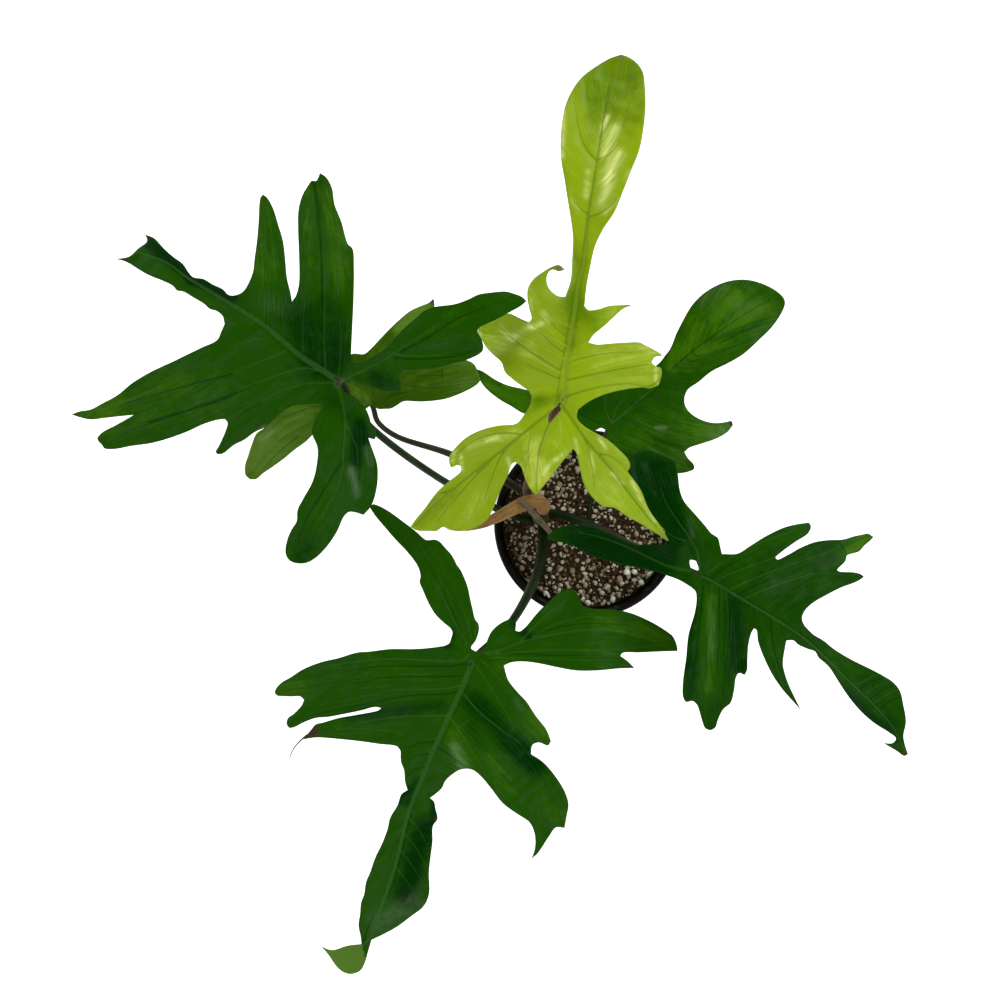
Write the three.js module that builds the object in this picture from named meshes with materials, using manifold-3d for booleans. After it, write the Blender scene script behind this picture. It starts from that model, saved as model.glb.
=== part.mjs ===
// A philodendron with six deeply lobed leaves, growing in a round black nursery pot.
// Millimetres, +Z up. The origin is the middle of the pot's underside, on the surface that it stands on.
import * as THREE from 'three';
import { mergeVertices } from 'three/addons/utils/BufferGeometryUtils.js';
import Module from 'manifold-3d';

const wasm = await Module();
wasm.setup();

// Pot
const POT_HEIGHT = 92;
const RIM_RADIUS = 52.5;
const BASE_RADIUS = 38;
const POT_WALL = 1.6;
const POT_FLOOR = 2.4;
const RIM_BAND_HEIGHT = 9;
const RIM_BAND_STEP = 2.3;
const EDGE_ROUNDING = 1.2;
const DRAIN_HOLES = 6;
const DRAIN_RADIUS = 4;
const DRAIN_CIRCLE_RADIUS = 26;
const DRAIN_SIDES = 16;
const ROUND_SIDES = 48;

// Potting mix
const SOIL_LEVEL = 79;
const SOIL_WAVE = 1.6;
const SOIL_WAVE_REACH = [7, 9];
const SOIL_TILT = 0.35;
const SOIL_EDGE_LEVEL = 78;
const SOIL_RING_SHARES = [1, 0.86, 0.7, 0.54, 0.38, 0.2, 0];
const LUMPS = 58;
const LUMP_RADIUS = [1.3, 2.9];
const LUMP_LIFT = 0.15;
const LUMP_SEED = 20417;

// Plant
const CLEARANCE = 0.3;
const BLADE_THICKNESS = 0.8;
const BLADE_MESH_SPACING = 11;
const BLADE_WAVE_HEIGHT = 1.2;
const BLADE_WAVE_LENGTH = [110, 124];
const VEIN_SAMPLE_SPACING = 8;
const VEIN_REACH = 11;
const STEM_FOOT = 34;
const STEM_TOP = 118;
const STEM_RADIUS = 5.4;
const STEM_PLACE = [541, 516];
const SEAT_GAP = 0.5;
const SEAT_REACH = 7;
const STALK_SIDES = 8;
const STALK_STEP = 7;

// The plan: outlines, veins and stalks are drawn as an eye above the plant sees them, in half millimetres at
// PLAN_LEVEL, x to the right and y to the front, with PLAN_CENTRE under the eye.
const EYE_HEIGHT = 1123;
const EYE_PLACE = [-49.1, 13.4];
const PLAN_LEVEL = 200;
const PLAN_UNIT = 0.5;
const PLAN_CENTRE = 500;

// Colours
const POT_BLACK = { color: 0x17171a, roughness: 0.45, metalness: 0 };
const SOIL_BROWN = { color: 0x3a2b21, roughness: 0.95, metalness: 0 };
const LEAF_GREEN = { color: 0x1f4a12, roughness: 0.35, metalness: 0 };
const UNDER_LEAF_GREEN = { color: 0x466b1a, roughness: 0.4, metalness: 0 };
const LIME = { color: 0xa6c233, roughness: 0.3, metalness: 0 };
const STALK_GREEN = { color: 0x24401a, roughness: 0.5, metalness: 0 };
const STALK_BROWN = { color: 0x6b4a2a, roughness: 0.7, metalness: 0 };
const DRY_ORANGE = { color: 0xa8743f, roughness: 0.8, metalness: 0 };
const DRY_GREY = { color: 0x7c6a5a, roughness: 0.9, metalness: 0 };

// Leaves. An edge is a list of runs, and each run ends on a corner: a lobe's tip or the bottom of a cut.
// A vein is a list of [plan x, plan y, height] from the stalk outwards. The blade follows the veins' heights.
const UPPER_LEFT = {
  edge: [
    [[129, 256.5], [138, 248.5], [147, 241], [145, 234.5]],
    [[154, 238], [164, 248.5], [173, 256.5], [183, 264], [188, 271.5], [193, 277], [203.5, 279],
      [213, 284.5], [222.5, 289], [229, 295], [236, 295], [243.5, 291], [249, 282], [253, 271.5],
      [254.5, 259], [257, 240], [258.5, 222], [260.5, 197.5], [263, 194.5]],
    [[267, 197.5], [273, 208], [278.5, 225.5], [283, 241], [285.5, 262], [287, 278], [290.5, 292.5],
      [292, 301.5]],
    [[296, 295.5], [299, 283], [299, 256], [298, 229], [298.5, 209.5], [302.5, 195], [308, 185.5],
      [312, 180.5], [316, 181], [320, 173]],
    [[326, 177], [332, 188], [334.5, 204], [341.5, 222], [348, 244], [352.5, 248.5], [354, 268],
      [353.5, 301.5], [352, 333.5], [351, 356]],
    [[353, 363], [368, 359.5], [379, 353], [386, 348], [393, 340.5], [400.5, 332], [407.5, 325], [416, 318],
      [424, 311], [434, 307], [455, 304], [469, 299], [478.5, 294.5], [491, 292.5], [506, 291.5],
      [513.5, 293.5], [521.5, 296.5], [526.5, 301]],
    [[521.5, 305.5], [510, 312], [496, 319.5], [487, 323.5], [479, 328], [477.5, 332]],
    [[481, 338], [482.5, 342], [483.5, 347.5], [482.5, 351], [478.5, 354.5], [469, 359], [459.5, 362],
      [435.5, 368], [415, 370], [402, 371.5], [399, 375]],
    [[401, 382], [399.5, 390.5], [391, 391.5], [376, 389], [364.5, 385.5], [352, 380.5], [343, 382]],
    [[341, 386], [347, 394], [355.5, 397.5], [360, 402.5], [365, 407.5], [368.5, 414.5], [372, 425],
      [375.5, 429], [376, 436], [374.5, 439.5]],
    [[368.5, 438]],
    [[371, 445.5], [374.5, 455], [377.5, 466], [377, 486], [371.5, 505.5], [363.5, 515]],
    [[355.5, 512.5], [349, 512], [344, 516.5], [336.5, 532.5], [326.5, 547], [315.5, 558], [306, 563],
      [295, 563], [288.5, 559.5], [285.5, 553], [287, 540.5], [291.5, 529.5], [296.5, 521.5], [297.5, 510],
      [303, 499], [312.5, 481.5], [316.5, 465.5], [317.5, 448], [312.5, 435], [312, 429], [315.5, 419.5],
      [322, 408], [322.5, 404]],
    [[304.5, 404], [291.5, 406.5], [279, 414.5], [264.5, 427.5], [255, 432], [244, 440], [234, 445],
      [223, 453.5], [218, 454.5]],
    [[215.5, 452], [218.5, 446.5], [224.5, 433.5], [227.5, 422.5], [224.5, 419]],
    [[217, 420], [204, 424], [187.5, 431.5], [170, 438], [152, 443], [131.5, 446], [115, 449],
      [104.5, 448.5], [102, 445], [98.5, 441.5], [97, 438]],
    [[102, 432.5], [116, 425], [127.5, 418.5], [133.5, 415]],
    [[122.5, 416], [104.5, 418], [90.5, 419.5], [80.5, 417.5], [71.5, 414.5]],
    [[79, 411.5], [90.5, 409.5], [102, 403.5], [117.5, 395], [131.5, 383.5], [149.5, 372.5], [175, 360.5],
      [200.5, 348], [217, 340], [221, 332], [224.5, 324]],
    [[222.5, 316], [216.5, 311], [210, 309], [203.5, 303.5], [192.5, 297], [183, 291.5], [177, 290.5],
      [173, 286], [162, 280.5], [149.5, 275.5], [138, 269], [128.5, 263], [120.5, 260], [114, 259]],
  ],
  veins: [
    [[341, 382, 215], [302, 357, 222], [264, 325, 222], [226, 301, 212], [188, 278, 197], [165, 262, 186],
      [132, 250, 168]],
    [[339, 381, 215], [325, 309, 228], [323, 246, 222], [315, 191, 208]],
    [[264, 325, 222], [267, 262, 220], [264, 204, 205]],
    [[341, 381, 215], [366, 367, 223], [395, 354, 231], [427, 338, 237], [475, 316, 241], [519, 298, 238]],
    [[395, 354, 231], [459, 351, 234]],
    [[340, 392, 213], [344, 421, 216], [343, 453, 212], [337, 488, 203], [315, 526, 190], [302, 552, 180]],
    [[264, 325, 222], [220, 355, 216], [160, 385, 203], [78, 414, 184]],
    [[302, 357, 222], [250, 385, 216], [180, 420, 203], [103, 443, 190]],
    [[325, 372, 218], [280, 400, 213], [240, 430, 203], [220, 450, 196]],
  ],
  sideRise: 0.07,
};

const UNDER_LEFT = {
  edge: [
    [[378.5, 409], [384, 409], [391, 408.5], [397.5, 405], [402, 402], [406.5, 401], [416, 401.5],
      [424.5, 401.5], [445, 399], [464, 392], [476.5, 385], [480.5, 380.5]],
    [[478, 372], [474.5, 364.5], [469, 361], [450, 357], [420, 356], [395, 361], [380, 372]],
    [[395, 352], [415, 333], [430, 315], [434.5, 306], [433.5, 298.5]],
    [[429, 302.5], [420.5, 306], [410, 311], [399.5, 319.5], [389, 329.5], [378.5, 340.5], [370, 349.5],
      [364, 354], [351.5, 354], [344, 366]],
    [[334, 352], [316, 338], [300, 331]],
    [[297, 345], [302, 362]],
    [[292, 385], [279, 405], [264.5, 427.5], [256.5, 433.5], [251.5, 445], [248, 456], [245, 465.5],
      [245.5, 475], [250, 479.5]],
    [[256.5, 479], [263, 473.5], [272.5, 467], [283.5, 459], [295, 449.5], [306, 441.5], [312.5, 435],
      [323, 425], [337, 418], [352, 413], [364, 410], [371, 405]],
  ],
  veins: [
    [[370, 403, 185], [325, 410, 187], [307, 424, 184], [280, 440, 178], [250, 474, 168]],
    [[370, 403, 185], [372, 370, 189], [400, 330, 186], [432, 300, 177]],
    [[370, 403, 185], [400, 388, 188], [440, 381, 184], [478, 377, 175]],
    [[345, 395, 187], [325, 365, 188], [302, 334, 182]],
  ],
  sideRise: 0.05,
};

const NEW_LIME = {
  edge: [
    [[627.5, 56.5], [637, 63], [643, 72.5], [645, 88], [645.5, 107], [643, 132], [639, 151], [631.5, 170],
      [624, 189], [614.5, 212], [603, 229.5], [595, 246.5], [590.5, 265.5], [586.5, 287], [584.5, 306]],
    [[588.5, 310], [599, 309], [608.5, 306], [622, 305], [633.5, 304.5]],
    [[623, 309], [614.5, 316.5], [603, 327], [593, 335.5], [588.5, 342.5]],
    [[597, 344.5], [610.5, 343.5], [625.5, 342.5], [640, 342.5], [645, 345], [656.5, 351], [663, 355.5]],
    [[654.5, 357.5], [651.5, 362.5]],
    [[656.5, 366.5], [661, 368], [661.5, 376], [658.5, 385.5]],
    [[648.5, 388.5], [643, 387.5], [622, 390], [603, 395], [587.5, 402.5], [578, 409.5]],
    [[577, 418], [583.5, 425.5], [593, 431.5], [606.5, 439], [620, 450.5], [628.5, 460], [630, 467],
      [627.5, 471.5]],
    [[632.5, 478], [640.5, 489.5], [649, 509.5], [660.5, 526], [669, 541]],
    [[654.5, 532.5], [639, 523], [625.5, 515.5], [614.5, 508], [603, 506], [591.5, 496.5], [583.5, 483],
      [580, 469.5], [576, 452.5], [573, 449]],
    [[568.5, 454.5], [560.5, 464], [551, 477], [541.5, 488.5], [536, 495.5]],
    [[530, 488.5], [524.5, 477], [520.5, 466], [515, 462]],
    [[512, 464], [507, 477], [499.5, 492.5], [493.5, 508], [486, 521], [476.5, 527], [463, 531],
      [449.5, 530], [443, 527], [436.5, 531], [428.5, 531], [417, 530.5], [410.5, 527]],
    [[415.5, 519.5], [425, 508], [436.5, 492.5], [448, 482], [460.5, 471.5], [461, 466.5]],
    [[457.5, 465], [451.5, 467.5], [449.5, 464], [449.5, 456], [455.5, 447.5], [467, 437], [482.5, 429.5],
      [499.5, 425.5], [516.5, 423.5], [524.5, 414], [530, 404.5], [531.5, 397], [529, 391]],
    [[522.5, 386.5], [513, 379.5], [505, 372], [501.5, 362.5], [493.5, 355], [486, 347], [480.5, 337.5],
      [477.5, 333]],
    [[480, 326], [492, 316], [509.5, 313.5], [514.5, 315.5], [522.5, 319.5], [529, 322]],
    [[531.5, 318.5], [530, 311], [527.5, 299.5], [528, 288], [534, 278.5], [543.5, 271.5], [551, 267],
      [559, 265], [565, 269.5]],
    [[559, 271.5], [553, 269.5], [548.5, 272.5], [546.5, 279], [549, 288], [557, 295.5], [565, 297]],
    [[570.5, 281], [572, 260], [573, 239], [571, 220], [567.5, 199], [564.5, 179.5], [561.5, 162.5],
      [560.5, 143.5], [562, 122.5], [565.5, 105], [572, 90.5], [581.5, 77.5], [595, 67], [610.5, 58],
      [621, 54.5]],
  ],
  slit: [[559, 405.5], [549.5, 413.5], [548, 418], [549, 423.5], [554, 418], [561, 410]],
  veins: [
    [[557, 408, 235], [563, 399, 236], [566, 370, 240], [570, 340, 243], [574, 316, 244], [578, 288, 245],
      [584, 259, 247], [588, 212, 250], [597, 164, 250], [603, 122, 247], [612, 72, 240]],
    [[553, 408, 235], [534, 424, 235], [507, 447, 230], [476, 470, 221], [448, 492, 211], [411, 527, 197]],
    [[507, 447, 230], [480, 445, 224], [455, 452, 217]],
    [[564, 406, 235], [576, 424, 236], [587, 443, 234], [610, 470, 227], [630, 498, 217], [666, 536, 200]],
    [[566, 379, 240], [600, 366, 239], [660, 356, 230]],
    [[562, 399, 236], [600, 380, 235], [658, 378, 226]],
    [[571, 335, 243], [590, 318, 243], [633, 305, 236]],
    [[570, 340, 243], [548, 312, 236], [536, 290, 228], [556, 268, 220]],
    [[561, 368, 240], [535, 352, 230], [510, 342, 217], [480, 333, 203]],
    [[557, 383, 238], [535, 372, 231], [510, 362, 221]],
  ],
  sideRise: 0.1,
};

const BACK_RIGHT = {
  edge: [
    [[684.5, 317.5], [692.5, 304.5], [703.5, 293.5], [716.5, 285.5], [729, 281], [743.5, 279.5],
      [756, 281.5], [769, 286.5], [778.5, 292.5], [784, 298.5], [785, 304], [781, 314], [772, 327],
      [759.5, 339.5], [743.5, 354], [727.5, 363.5], [711.5, 371.5], [698.5, 382], [687.5, 390],
      [684.5, 397]],
    [[685, 405], [690.5, 413], [702, 420], [714.5, 423], [726, 422], [731.5, 421], [733, 425]],
    [[727.5, 432], [716.5, 438.5], [700.5, 444], [689, 448], [684.5, 452]],
    [[687.5, 457.5], [694, 465], [694, 469], [687.5, 472], [678, 473.5], [662, 472], [645, 466], [630, 457],
      [618, 446], [612, 438], [609, 431]],
    [[602, 427.5], [592, 429], [584, 422.5], [577, 413], [560, 414], [540, 416], [522.5, 413], [512.5, 407],
      [499.5, 399.5], [487, 389.5], [480.5, 381], [477, 369]],
    [[483, 371.5], [496, 380], [508.5, 385.5], [521.5, 388.5], [530, 390.5], [550, 394], [575, 397],
      [598, 394]],
    [[598, 380], [603, 362], [606, 352]],
    [[618, 356], [635, 368], [648, 370]],
    [[655.5, 366], [661, 361], [665, 355.5], [670, 349], [676.5, 333]],
  ],
  veins: [
    [[611, 424, 165], [645, 395, 171], [672, 370, 174], [700, 350, 176], [735, 324, 174], [775, 298, 166]],
    [[645, 395, 171], [680, 413, 169], [731, 424, 159]],
    [[612, 428, 165], [640, 440, 166], [670, 458, 162], [692, 467, 156]],
    [[607, 427, 165], [585, 415, 164], [545, 405, 160], [500, 388, 154], [479, 371, 149]],
    [[645, 395, 171], [625, 375, 170], [607, 354, 166]],
  ],
  sideRise: 0.08,
};

const RIGHT = {
  edge: [
    [[737.5, 553.5], [751.5, 545], [767, 535.5], [784, 527.5], [798, 524], [809, 522.5]],
    [[811, 526.5], [808, 533.5], [796, 541.5], [784, 550], [775.5, 557]],
    [[777, 559.5], [787.5, 555], [801, 547.5], [815, 542], [829, 540], [842.5, 539.5], [855, 536],
      [862.5, 534.5], [868, 533.5], [873.5, 537]],
    [[871, 540], [864.5, 545.5], [859, 551.5], [852.5, 553.5], [847, 555.5], [846, 559.5], [844.5, 562.5],
      [839, 567.5], [837, 570]],
    [[839.5, 571.5], [848.5, 572], [855.5, 572.5], [861.5, 574.5], [864, 577]],
    [[858, 581], [851, 584], [842.5, 587], [825.5, 595.5], [811.5, 604], [804, 612], [802, 619],
      [804.5, 625.5]],
    [[813.5, 634.5], [823.5, 640.5], [834, 649], [849.5, 658.5], [866.5, 667], [882, 675], [893.5, 682.5],
      [900, 691], [903.5, 705], [906, 722], [903.5, 736], [905.5, 746.5], [908, 754]],
    [[904.5, 756], [896, 750.5], [889, 746.5], [883.5, 743]],
    [[892.5, 743], [896, 738.5], [889, 732.5], [875.5, 724], [863, 713.5], [851, 700], [839, 682.5],
      [830.5, 669], [825.5, 663.5], [818.5, 657.5], [815, 651.5], [808, 649], [798, 644.5], [793.5, 640.5],
      [786.5, 640.5]],
    [[785, 648], [783, 663.5], [785, 674], [790, 687.5], [796, 700], [801, 710.5]],
    [[794.5, 703], [782.5, 689.5], [772, 674], [763.5, 656.5], [758, 641], [756.5, 630], [754, 628.5]],
    [[751.5, 632.5], [748.5, 644.5], [747.5, 658.5], [747, 670.5], [744.5, 675]],
    [[739, 673], [736, 677.5], [734, 691], [730.5, 703], [723.5, 709], [718.5, 718.5], [715, 728],
      [710, 730.5]],
    [[705, 728], [702, 720.5], [697, 705], [692.5, 701], [686, 702], [683, 696.5], [683, 681], [686, 658.5],
      [688.5, 634.5], [694.5, 613.5], [696.5, 600], [695.5, 591.5], [691, 587]],
    [[679, 580], [667, 575.5], [650, 570], [632, 566.5], [613.5, 562.5], [598, 558], [584.5, 551.5],
      [572, 545.5], [560, 542], [549, 540], [547, 537]],
    [[551.5, 532], [560, 527], [575, 525.5], [590.5, 526.5], [601, 530.5], [613.5, 536.5], [625.5, 542],
      [635, 545], [647, 544], [661, 545], [667, 541]],
    [[664, 529], [656, 523], [645, 512], [634, 497], [626, 480], [624, 465], [630, 457], [638, 452],
      [647, 450], [661, 454.5], [673, 460], [676, 463]],
    [[678, 475], [680, 490.5], [684, 501], [694.5, 513.5], [705, 525.5], [711.5, 533.5], [718, 538],
      [720, 545.5], [722, 554]],
  ],
  slit: [[690, 560], [692, 569.5], [698.5, 570], [696, 561]],
  veins: [
    [[701, 576, 175], [712, 581, 177], [737, 596, 180], [767, 614, 181], [791, 629, 179], [810, 643, 175],
      [825, 657, 171], [849, 681, 163], [872, 703, 154], [889, 722, 145], [899, 738, 138], [906, 753, 132]],
    [[699, 572, 175], [693, 553, 177], [685, 538, 179], [673, 520, 180], [662, 501, 179], [655, 483, 175],
      [650, 463, 170]],
    [[693, 575, 175], [670, 567, 174], [647, 558, 171], [626, 547, 167], [601, 538, 161], [551, 536, 148]],
    [[737, 596, 180], [770, 560, 178], [809, 525, 168]],
    [[767, 614, 181], [810, 570, 177], [868, 537, 163]],
    [[780, 620, 180], [820, 595, 176], [862, 576, 165]],
    [[712, 581, 177], [705, 640, 176], [710, 728, 164]],
    [[737, 596, 180], [738, 640, 177], [741, 674, 171]],
    [[760, 610, 181], [775, 650, 177], [800, 709, 163]],
  ],
  sideRise: 0.07,
};

const FRONT = {
  edge: [
    [[471, 648], [476, 640], [479, 629.5], [478.5, 624], [475, 619], [473, 610.5], [470.5, 600], [468, 588],
      [464, 577], [460, 569], [457, 565], [452, 555.5], [445, 547.5], [439.5, 541.5], [434.5, 539.5],
      [426.5, 540], [415.5, 531], [401, 520], [390, 512], [379.5, 506], [373.5, 504]],
    [[370, 506.5], [374, 514], [385, 527.5], [395.5, 539.5], [406, 550.5], [414.5, 561], [419, 569],
      [420.5, 577], [419.5, 581.5], [423, 590.5], [429, 604], [435.5, 614.5], [443.5, 622.5],
      [450.5, 628.5], [452.5, 632.5], [451, 638.5], [449, 643.5], [443.5, 646]],
    [[428.5, 648], [413, 649], [390.5, 649], [369.5, 651.5], [357, 652.5], [338.5, 658], [321.5, 662],
      [303.5, 669], [291, 677], [281, 683], [275.5, 689.5], [275, 693.5], [278, 696]],
    [[291, 696.5], [300.5, 696.5], [304, 700]],
    [[301.5, 705.5], [293.5, 714], [288, 718], [286.5, 724], [289, 728]],
    [[293.5, 727.5], [303.5, 722.5], [316, 718], [327.5, 717], [344, 714], [361, 710.5], [375, 707],
      [381, 708]],
    [[379, 710], [358, 714.5], [338.5, 718], [323, 722.5], [315.5, 724.5], [312, 728.5], [306.5, 735],
      [302, 739.5]],
    [[316, 737.5], [327.5, 738], [338.5, 739], [358, 741], [379.5, 744], [397, 746.5], [400.5, 751]],
    [[401, 762], [404, 770], [405, 781.5], [407.5, 790]],
    [[401.5, 794], [397.5, 805], [390, 818], [387.5, 829], [382, 843.5], [375, 858], [370, 872.5],
      [366, 882], [364, 894.5], [361, 902.5], [360, 914], [358.5, 925.5], [360.5, 936], [361.5, 944]],
    [[348, 945.5], [332, 950], [324, 947.5], [320.5, 945.5]],
    [[328.5, 955], [336.5, 966.5], [343, 972], [351, 974], [360, 971], [364, 965], [368.5, 950.5],
      [371.5, 940]],
    [[386, 933], [399, 925.5], [411.5, 916], [423.5, 906.5], [429, 894.5], [429, 872.5], [430.5, 858],
      [432.5, 842], [433, 826], [437.5, 819], [435.5, 808.5], [434, 801.5], [430, 798]],
    [[435.5, 794], [442, 788], [445, 781.5], [451.5, 775], [461, 769.5], [471.5, 769.5], [480, 775.5],
      [490, 787], [503, 803.5], [516.5, 813.5], [529.5, 822.5], [534.5, 833.5], [535, 847.5], [531.5, 859]],
    [[538, 853], [549, 836.5], [556, 827.5], [564.5, 828]],
    [[566.5, 817], [568.5, 804], [565, 792], [556, 777], [543, 762], [531, 754]],
    [[532.5, 745], [539, 742.5], [548, 745.5], [551, 741]],
    [[546, 729], [536, 716], [526, 701], [518, 692.5], [508, 679.5], [504, 665.5]],
    [[511, 662.5], [523, 661.5], [539.5, 663.5], [556, 667], [576, 670.5], [597.5, 670.5], [619, 668.5],
      [634.5, 668]],
    [[627.5, 661], [620.5, 656]],
    [[622.5, 653], [639, 652.5], [660.5, 651.5], [677.5, 651]],
    [[677, 646], [673, 636.5], [667, 631.5], [650.5, 621.5], [630.5, 613], [614, 609.5], [589, 608],
      [582.5, 605], [579.5, 598], [577, 592.5]],
    [[571, 588.5], [564.5, 590], [556, 595], [546, 604], [536, 614.5], [526, 626.5], [519.5, 631.5],
      [515.5, 630.5]],
    [[515.5, 621.5], [509.5, 619.5], [499.5, 624], [491.5, 631.5], [487.5, 639.5], [485.5, 646],
      [477, 652]],
  ],
  veins: [
    [[473, 660, 160], [462, 688, 164], [448, 718, 165], [434, 749, 162], [420, 783, 156], [409, 811, 150],
      [399, 852, 140], [391, 880, 132], [380, 909, 124], [372, 934, 116], [345, 962, 108]],
    [[470, 649, 160], [464, 635, 163], [454, 616, 166], [444, 594, 168], [430, 570, 168], [417, 549, 166],
      [397, 526, 161], [374, 506, 154]],
    [[481, 653, 160], [523, 641, 163], [556, 635, 164], [589, 631, 162], [614, 631, 158], [664, 641, 148]],
    [[523, 641, 163], [546, 626, 163], [572, 598, 157]],
    [[470, 665, 161], [440, 668, 160], [400, 672, 157], [340, 680, 149], [278, 690, 138]],
    [[458, 700, 165], [420, 722, 160], [370, 728, 153], [310, 734, 143]],
    [[468, 680, 163], [500, 700, 161], [545, 740, 152]],
    [[450, 720, 165], [500, 765, 159], [540, 805, 151], [545, 835, 145]],
  ],
  sideRise: 0.07,
};

// Stalks: [plan x, plan y, height] from the stem outwards, with the radius at each point.
const STALKS = {
  upper_left: {
    path: [[541, 517, 97], [528, 519, 99], [505, 512, 112], [447, 483, 150], [376, 432, 191],
      [351, 405, 204]],
    radius: [2.2, 2.1, 2, 1.9, 1.9, 1.8, 1.7],
  },
  under_left: {
    path: [[541, 515, 103], [532, 504, 105], [523, 493, 110], [506, 481, 119], [450, 454, 147],
      [396, 436, 168], [378, 422, 177]],
    radius: [2.3, 2.3, 2.2, 2, 1.7, 1.5, 1.4, 1.4],
  },
  lime: {
    path: [[541, 515, 109], [533, 506, 111], [527, 493, 122], [530, 477, 145], [535, 460, 168],
      [545, 430, 207]],
    radius: [2.4, 2.4, 2.4, 2.2, 2.1, 1.9, 1.7],
  },
  back_right: {
    path: [[588, 536, 55], [588, 535, 72], [588, 529, 88], [591, 497, 112], [600, 465, 138]],
    radius: [1.7, 1.7, 1.6, 1.5, 1.4, 1.4],
  },
  right: {
    path: [[541, 515, 94], [555, 514, 96], [580, 521, 112], [606, 533, 130], [650, 555, 152]],
    radius: [2.7, 2.6, 2.5, 2.3, 2.1, 1.8],
  },
  front: {
    path: [[542, 517, 90], [543, 530, 93], [543, 545, 101], [540, 565, 112], [524, 602, 133],
      [505, 630, 148]],
    radius: [2.9, 2.8, 2.7, 2.5, 2.2, 1.9, 1.7],
  },
};

const DRY_SHEATH = {
  path: [[542, 512, 120], [543, 505, 126], [536, 501, 130], [523, 504, 132], [505, 513, 133],
    [485, 523, 131], [464, 530, 126]],
  radius: [3.4, 3.8, 3.8, 3.3, 2.7, 2, 0.9],
};
const DRY_STRIP = {
  path: [[517, 499, 136.6], [530, 510, 135.2], [541, 522, 128], [551, 533, 119]],
  radius: [1.3, 1.5, 1.6, 1.2],
  flatness: 0.4,
};

// The stem's heights, each with its share of the stem's radius.
const STEM_PROFILE = [[STEM_FOOT, 1], [60, 1], [85, 1], [105, 0.97], [STEM_TOP, 0.85]];

// A point of the plan at height z, on the line of sight from the eye.
function fromPlan(x, y, z) {
  const unit = (PLAN_UNIT * (EYE_HEIGHT - z)) / (EYE_HEIGHT - PLAN_LEVEL);
  return new THREE.Vector3(
    EYE_PLACE[0] + (x - PLAN_CENTRE) * unit,
    EYE_PLACE[1] - (y - PLAN_CENTRE) * unit,
    z,
  );
}

function smoothCurve(points) {
  return new THREE.CatmullRomCurve3(points, false, 'centripetal');
}

// Merges shared vertices and drops the triangles that a closed pole leaves with no area.
function weld(geometry, tolerance = 1e-4) {
  const bare = geometry.clone();
  bare.deleteAttribute('normal');
  bare.deleteAttribute('uv');
  const merged = mergeVertices(bare, tolerance);
  const kept = [];
  for (let i = 0; i < merged.index.count; i += 3) {
    const corners = [0, 1, 2].map((k) => merged.index.getX(i + k));
    if (new Set(corners).size === 3) kept.push(...corners);
  }
  merged.setIndex(kept);
  return merged;
}

function toSolid(geometry) {
  const welded = weld(geometry);
  return new wasm.Manifold(new wasm.Mesh({
    numProp: 3,
    vertProperties: new Float32Array(welded.attributes.position.array),
    triVerts: new Uint32Array(welded.index.array),
  }));
}

function toGeometry(solid) {
  const mesh = solid.getMesh();
  const geometry = new THREE.BufferGeometry();
  geometry.setAttribute('position', new THREE.Float32BufferAttribute(mesh.vertProperties, 3));
  geometry.setIndex([...mesh.triVerts]);
  return geometry;
}

// A profile of [radius, height] pairs turned about the Z axis.
function turned(profile) {
  const points = profile.map(([radius, height]) => new THREE.Vector2(radius, height));
  return new THREE.LatheGeometry(points, ROUND_SIDES).rotateX(Math.PI / 2);
}

// A round bar along the points, whose radius goes through the given ones in turn. Flatness squashes it in Z.
function taperedBar(points, radii, flatness = 1) {
  const curve = smoothCurve(points);
  const steps = Math.max(points.length, Math.round(curve.getLength() / STALK_STEP));
  const section = new THREE.Shape();
  section.absarc(0, 0, 1, 0, 2 * Math.PI);
  const bar = new THREE.ExtrudeGeometry(section, {
    steps,
    curveSegments: STALK_SIDES / 2,
    bevelEnabled: false,
    extrudePath: curve,
  });
  const centres = curve.getSpacedPoints(steps);
  const position = bar.attributes.position;
  const vertex = new THREE.Vector3();
  for (let i = 0; i < position.count; i += 1) {
    vertex.fromBufferAttribute(position, i);
    const distances = centres.map((centre) => centre.distanceTo(vertex));
    const ring = distances.indexOf(Math.min(...distances));
    const along = curve.getUtoTmapping(ring / steps) * (radii.length - 1);
    const before = Math.min(Math.floor(along), radii.length - 2);
    const radius = THREE.MathUtils.lerp(radii[before], radii[before + 1], along - before);
    vertex.sub(centres[ring]).multiplyScalar(radius);
    vertex.z *= flatness;
    vertex.add(centres[ring]);
    position.setXYZ(i, vertex.x, vertex.y, vertex.z);
  }
  return bar;
}

// Triangles over scattered points, none with another point inside its circle: each point in turn empties the
// circles that it falls in, and the hole is filled with triangles to that point.
function triangulate(points) {
  const far = 1e5;
  const all = [...points, [-far, -far], [far, -far], [0, far]];
  const circled = (a, b, c) => {
    const [ax, ay] = all[a];
    const [bx, by] = [all[b][0] - ax, all[b][1] - ay];
    const [cx, cy] = [all[c][0] - ax, all[c][1] - ay];
    const d = 2 * (bx * cy - by * cx);
    const ux = (cy * (bx * bx + by * by) - by * (cx * cx + cy * cy)) / d;
    const uy = (bx * (cx * cx + cy * cy) - cx * (bx * bx + by * by)) / d;
    return { corners: [a, b, c], x: ax + ux, y: ay + uy, square: ux * ux + uy * uy };
  };
  let triangles = [circled(points.length, points.length + 1, points.length + 2)];
  points.forEach(([x, y], i) => {
    const holds = (t) => (t.x - x) ** 2 + (t.y - y) ** 2 < t.square;
    const edges = new Map();
    for (const t of triangles.filter(holds)) {
      t.corners.forEach((a, k) => {
        const b = t.corners[(k + 1) % 3];
        if (!edges.delete(`${b},${a}`)) edges.set(`${a},${b}`, [a, b]);
      });
    }
    triangles = triangles.filter((t) => !holds(t));
    for (const [a, b] of edges.values()) triangles.push(circled(a, b, i));
  });
  return triangles.map((t) => t.corners).filter((corners) => corners.every((i) => i < points.length));
}

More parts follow.
